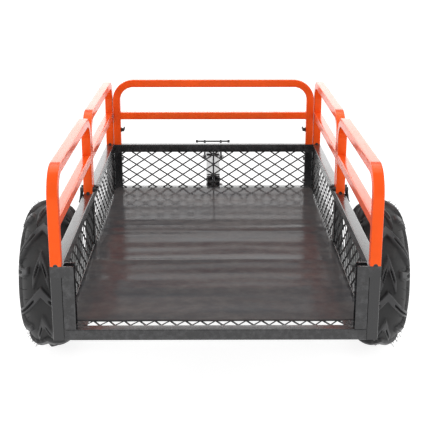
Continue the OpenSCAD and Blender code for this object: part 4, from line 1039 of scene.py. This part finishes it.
# The rubber between the lugs is painted near black by the tread's height, as shade in the grooves, and the lug tops
# keep the lighter rubber as painted light; the lug tops are also smoother
lug = add_node(tree, "ShaderNodeAttribute", attribute_name="tread_shade_mask").outputs["Fac"]
rubber = add_node(tree, "ShaderNodeMix", {"Factor": lug, 6: (0.0045, 0.0045, 0.005, 1), 7: rubber},
                  data_type="RGBA")
sheen = add_node(tree, "ShaderNodeMapRange", {"Value": lug, "To Min": 0.6, "To Max": 0.36})
surface(tree, shader, dusted_over(tree, place, rubber.outputs[2], sheen.outputs[0], 0.10),
        mould.outputs["Fac"], 0.3, 0.0002)

hair_tree, start, end = geometry_tree(
    "vent_hairs", [("Count", "Int", 40), ("Ring Radius", "Float", 0.2), ("Hair Radius", "Float", 0.0004),
                   ("Hair Length", "Float", 0.008), ("Lean", "Float", 0.8), ("Finish", "Material", None)])
ring = add_node(hair_tree, "GeometryNodeCurvePrimitiveCircle",
                {"Resolution": start.outputs["Count"], "Radius": start.outputs["Ring Radius"]})
hair = add_node(hair_tree, "GeometryNodeMeshCylinder",
                {"Vertices": 5, "Radius": start.outputs["Hair Radius"], "Depth": start.outputs["Hair Length"]})
lifted_by = add_node(hair_tree, "ShaderNodeMath", {0: start.outputs["Hair Length"], 1: 0.5}, operation="MULTIPLY")
lifted_at = add_node(hair_tree, "ShaderNodeCombineXYZ", {"Z": lifted_by.outputs[0]})
lifted = add_node(hair_tree, "GeometryNodeTransform", {"Geometry": hair.outputs["Mesh"],
                                                       "Translation": lifted_at.outputs[0]})
outwards = add_node(hair_tree, "ShaderNodeVectorMath",
                    {0: add_node(hair_tree, "GeometryNodeInputPosition").outputs[0]}, operation="NORMALIZE")
upright = add_node(hair_tree, "ShaderNodeCombineXYZ", {"Z": start.outputs["Lean"]})
aim = add_node(hair_tree, "ShaderNodeVectorMath", {0: outwards.outputs[0], 1: upright.outputs[0]}, operation="ADD")
wild = add_node(hair_tree, "FunctionNodeRandomValue", {0: (-0.25, -0.25, -0.25), 1: (0.25, 0.25, 0.25), "Seed": 11},
                data_type="FLOAT_VECTOR")
aim = add_node(hair_tree, "ShaderNodeVectorMath", {0: aim.outputs[0], 1: wild.outputs[0]}, operation="ADD")
turned = add_node(hair_tree, "FunctionNodeAlignRotationToVector", {"Vector": aim.outputs[0]}, axis="Z")
length_of = add_node(hair_tree, "FunctionNodeRandomValue", {2: 0.45, 3: 1.0, "Seed": 5})
long_scale = add_node(hair_tree, "ShaderNodeCombineXYZ", {"X": 1.0, "Y": 1.0, "Z": length_of.outputs[1]})
ring_points = add_node(hair_tree, "GeometryNodeCurveToPoints", {"Curve": ring.outputs["Curve"],
                                                                "Count": start.outputs["Count"]})
hairs = add_node(hair_tree, "GeometryNodeInstanceOnPoints",
                 {"Points": ring_points.outputs["Points"], "Instance": lifted.outputs[0],
                  "Rotation": turned.outputs[0], "Scale": long_scale.outputs[0]})
solid = add_node(hair_tree, "GeometryNodeRealizeInstances", {0: hairs.outputs[0]})
blackened = add_node(hair_tree, "GeometryNodeSetMaterial", {"Geometry": solid.outputs[0],
                                                            "Material": start.outputs["Finish"]})
hair_tree.links.new(blackened.outputs[0], end.inputs[0])

treads = [[tread_height(j / PERIOD_STEPS, run * 1000) if share > 0 else 0.0
           for _, _, share, run, _ in casing] for j in range(PERIOD_STEPS)]


def moulded_tyre(name, node_name, side, phase):
    """The tyre as one closed skin: casing with its tread outside, liner inside, round the axle's line."""
    low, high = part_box(node_name)
    hub = (low + high) / 2
    rows = len(casing) + len(inner_skin)
    points, tread_shade_levels = [], []
    for j in range(STEPS_ROUND):
        turn = 2 * math.pi * j / STEPS_ROUND + phase
        local = treads[j % PERIOD_STEPS]
        for k, (r, across, share, _, lean) in enumerate(casing):
            drop = TREAD_DEPTH * (1 - local[k]) * share
            reach = r - drop * math.cos(lean)
            pull = across - math.copysign(drop * math.sin(lean), across)
            points.append((hub.x + side * pull, hub.y - reach * math.cos(turn), hub.z + reach * math.sin(turn)))
            # The tread's height is kept as a mask for the painted shade in the grooves and the lighter lug tops
            tread_shade_levels.append(WALL_SHADE_LEVEL + share * (local[k] - WALL_SHADE_LEVEL))
        for r, across in inner_skin:
            points.append((hub.x + side * across, hub.y - r * math.cos(turn), hub.z + r * math.sin(turn)))
            tread_shade_levels.append(0.0)
    faces = []
    for j in range(STEPS_ROUND):
        n = (j + 1) % STEPS_ROUND
        for k in range(rows):
            m = (k + 1) % rows
            quad = (j * rows + k, n * rows + k, n * rows + m, j * rows + m)
            faces.append(quad[::-1] if side > 0 else quad)
    mesh = bpy.data.meshes.new(name)
    mesh.from_pydata(points, [], faces)
    for polygon in mesh.polygons:
        polygon.use_smooth = True
    mesh.attributes.new("tread_shade_mask", "FLOAT", "POINT").data.foreach_set("value", tread_shade_levels)
    mesh.materials.append(tyre_rubber)
    piece = linked(name, mesh)
    body = "wheel_left" if side < 0 else "wheel_right"
    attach(piece, body)
    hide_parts(node_name)
    # Vent hairs stand on the outer shoulder in two rings, inside the tyre's own width and height
    # The hairs have no shade mask, so they take the grooves' painted shade colour
    for ring_name, root_lean, hair_length, lean_out in (("upper", 30, 0.020, 1.0), ("lower", 50, 0.015, 0.45)):
        root_lean = math.radians(root_lean)
        hairs = grown(name + "_vent_hairs_" + ring_name, hair_tree,
                      {"Count": HAIRS_ROUND,
                       "Ring Radius": TYRE_R - SHOULDER + (SHOULDER - HAIR_ROOT) * math.cos(root_lean),
                       "Hair Radius": 0.0007, "Hair Length": hair_length, "Lean": lean_out, "Finish": tyre_rubber},
                      None)
        root_x = hub.x + side * (TYRE_HALF - SHOULDER + (SHOULDER - HAIR_ROOT) * math.sin(root_lean))
        for v in hairs.data.vertices:
            v.co = Vector((root_x + side * v.co.z, hub.y + v.co.x * side, hub.z + v.co.y))
        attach(hairs, body)


moulded_tyre("tyre_left_moulded", "tyre_left", -1, math.radians(6))
moulded_tyre("tyre_right_moulded", "tyre_right", 1, math.radians(2))


# ---------- Rims and hub caps ----------
# Pressed steel rims with a drop centre and a dished disc with five holes, sprayed pale grey. A black
# plastic cap covers each hub's outer end.

rim_paint = powder_coat("rim_paint_finish", (0.56, 0.57, 0.56), (0.42, 0.42, 0.42),
                        0.34, 0.0022, 0.00005, 0.25, 0.2)
for side in ("left", "right"):
    joined_copy("rim_" + side, "rim_" + side + "_pressed", rim_paint, "wheel_" + side, 40)
    refinished("hub_cap_" + side, black_plastic)
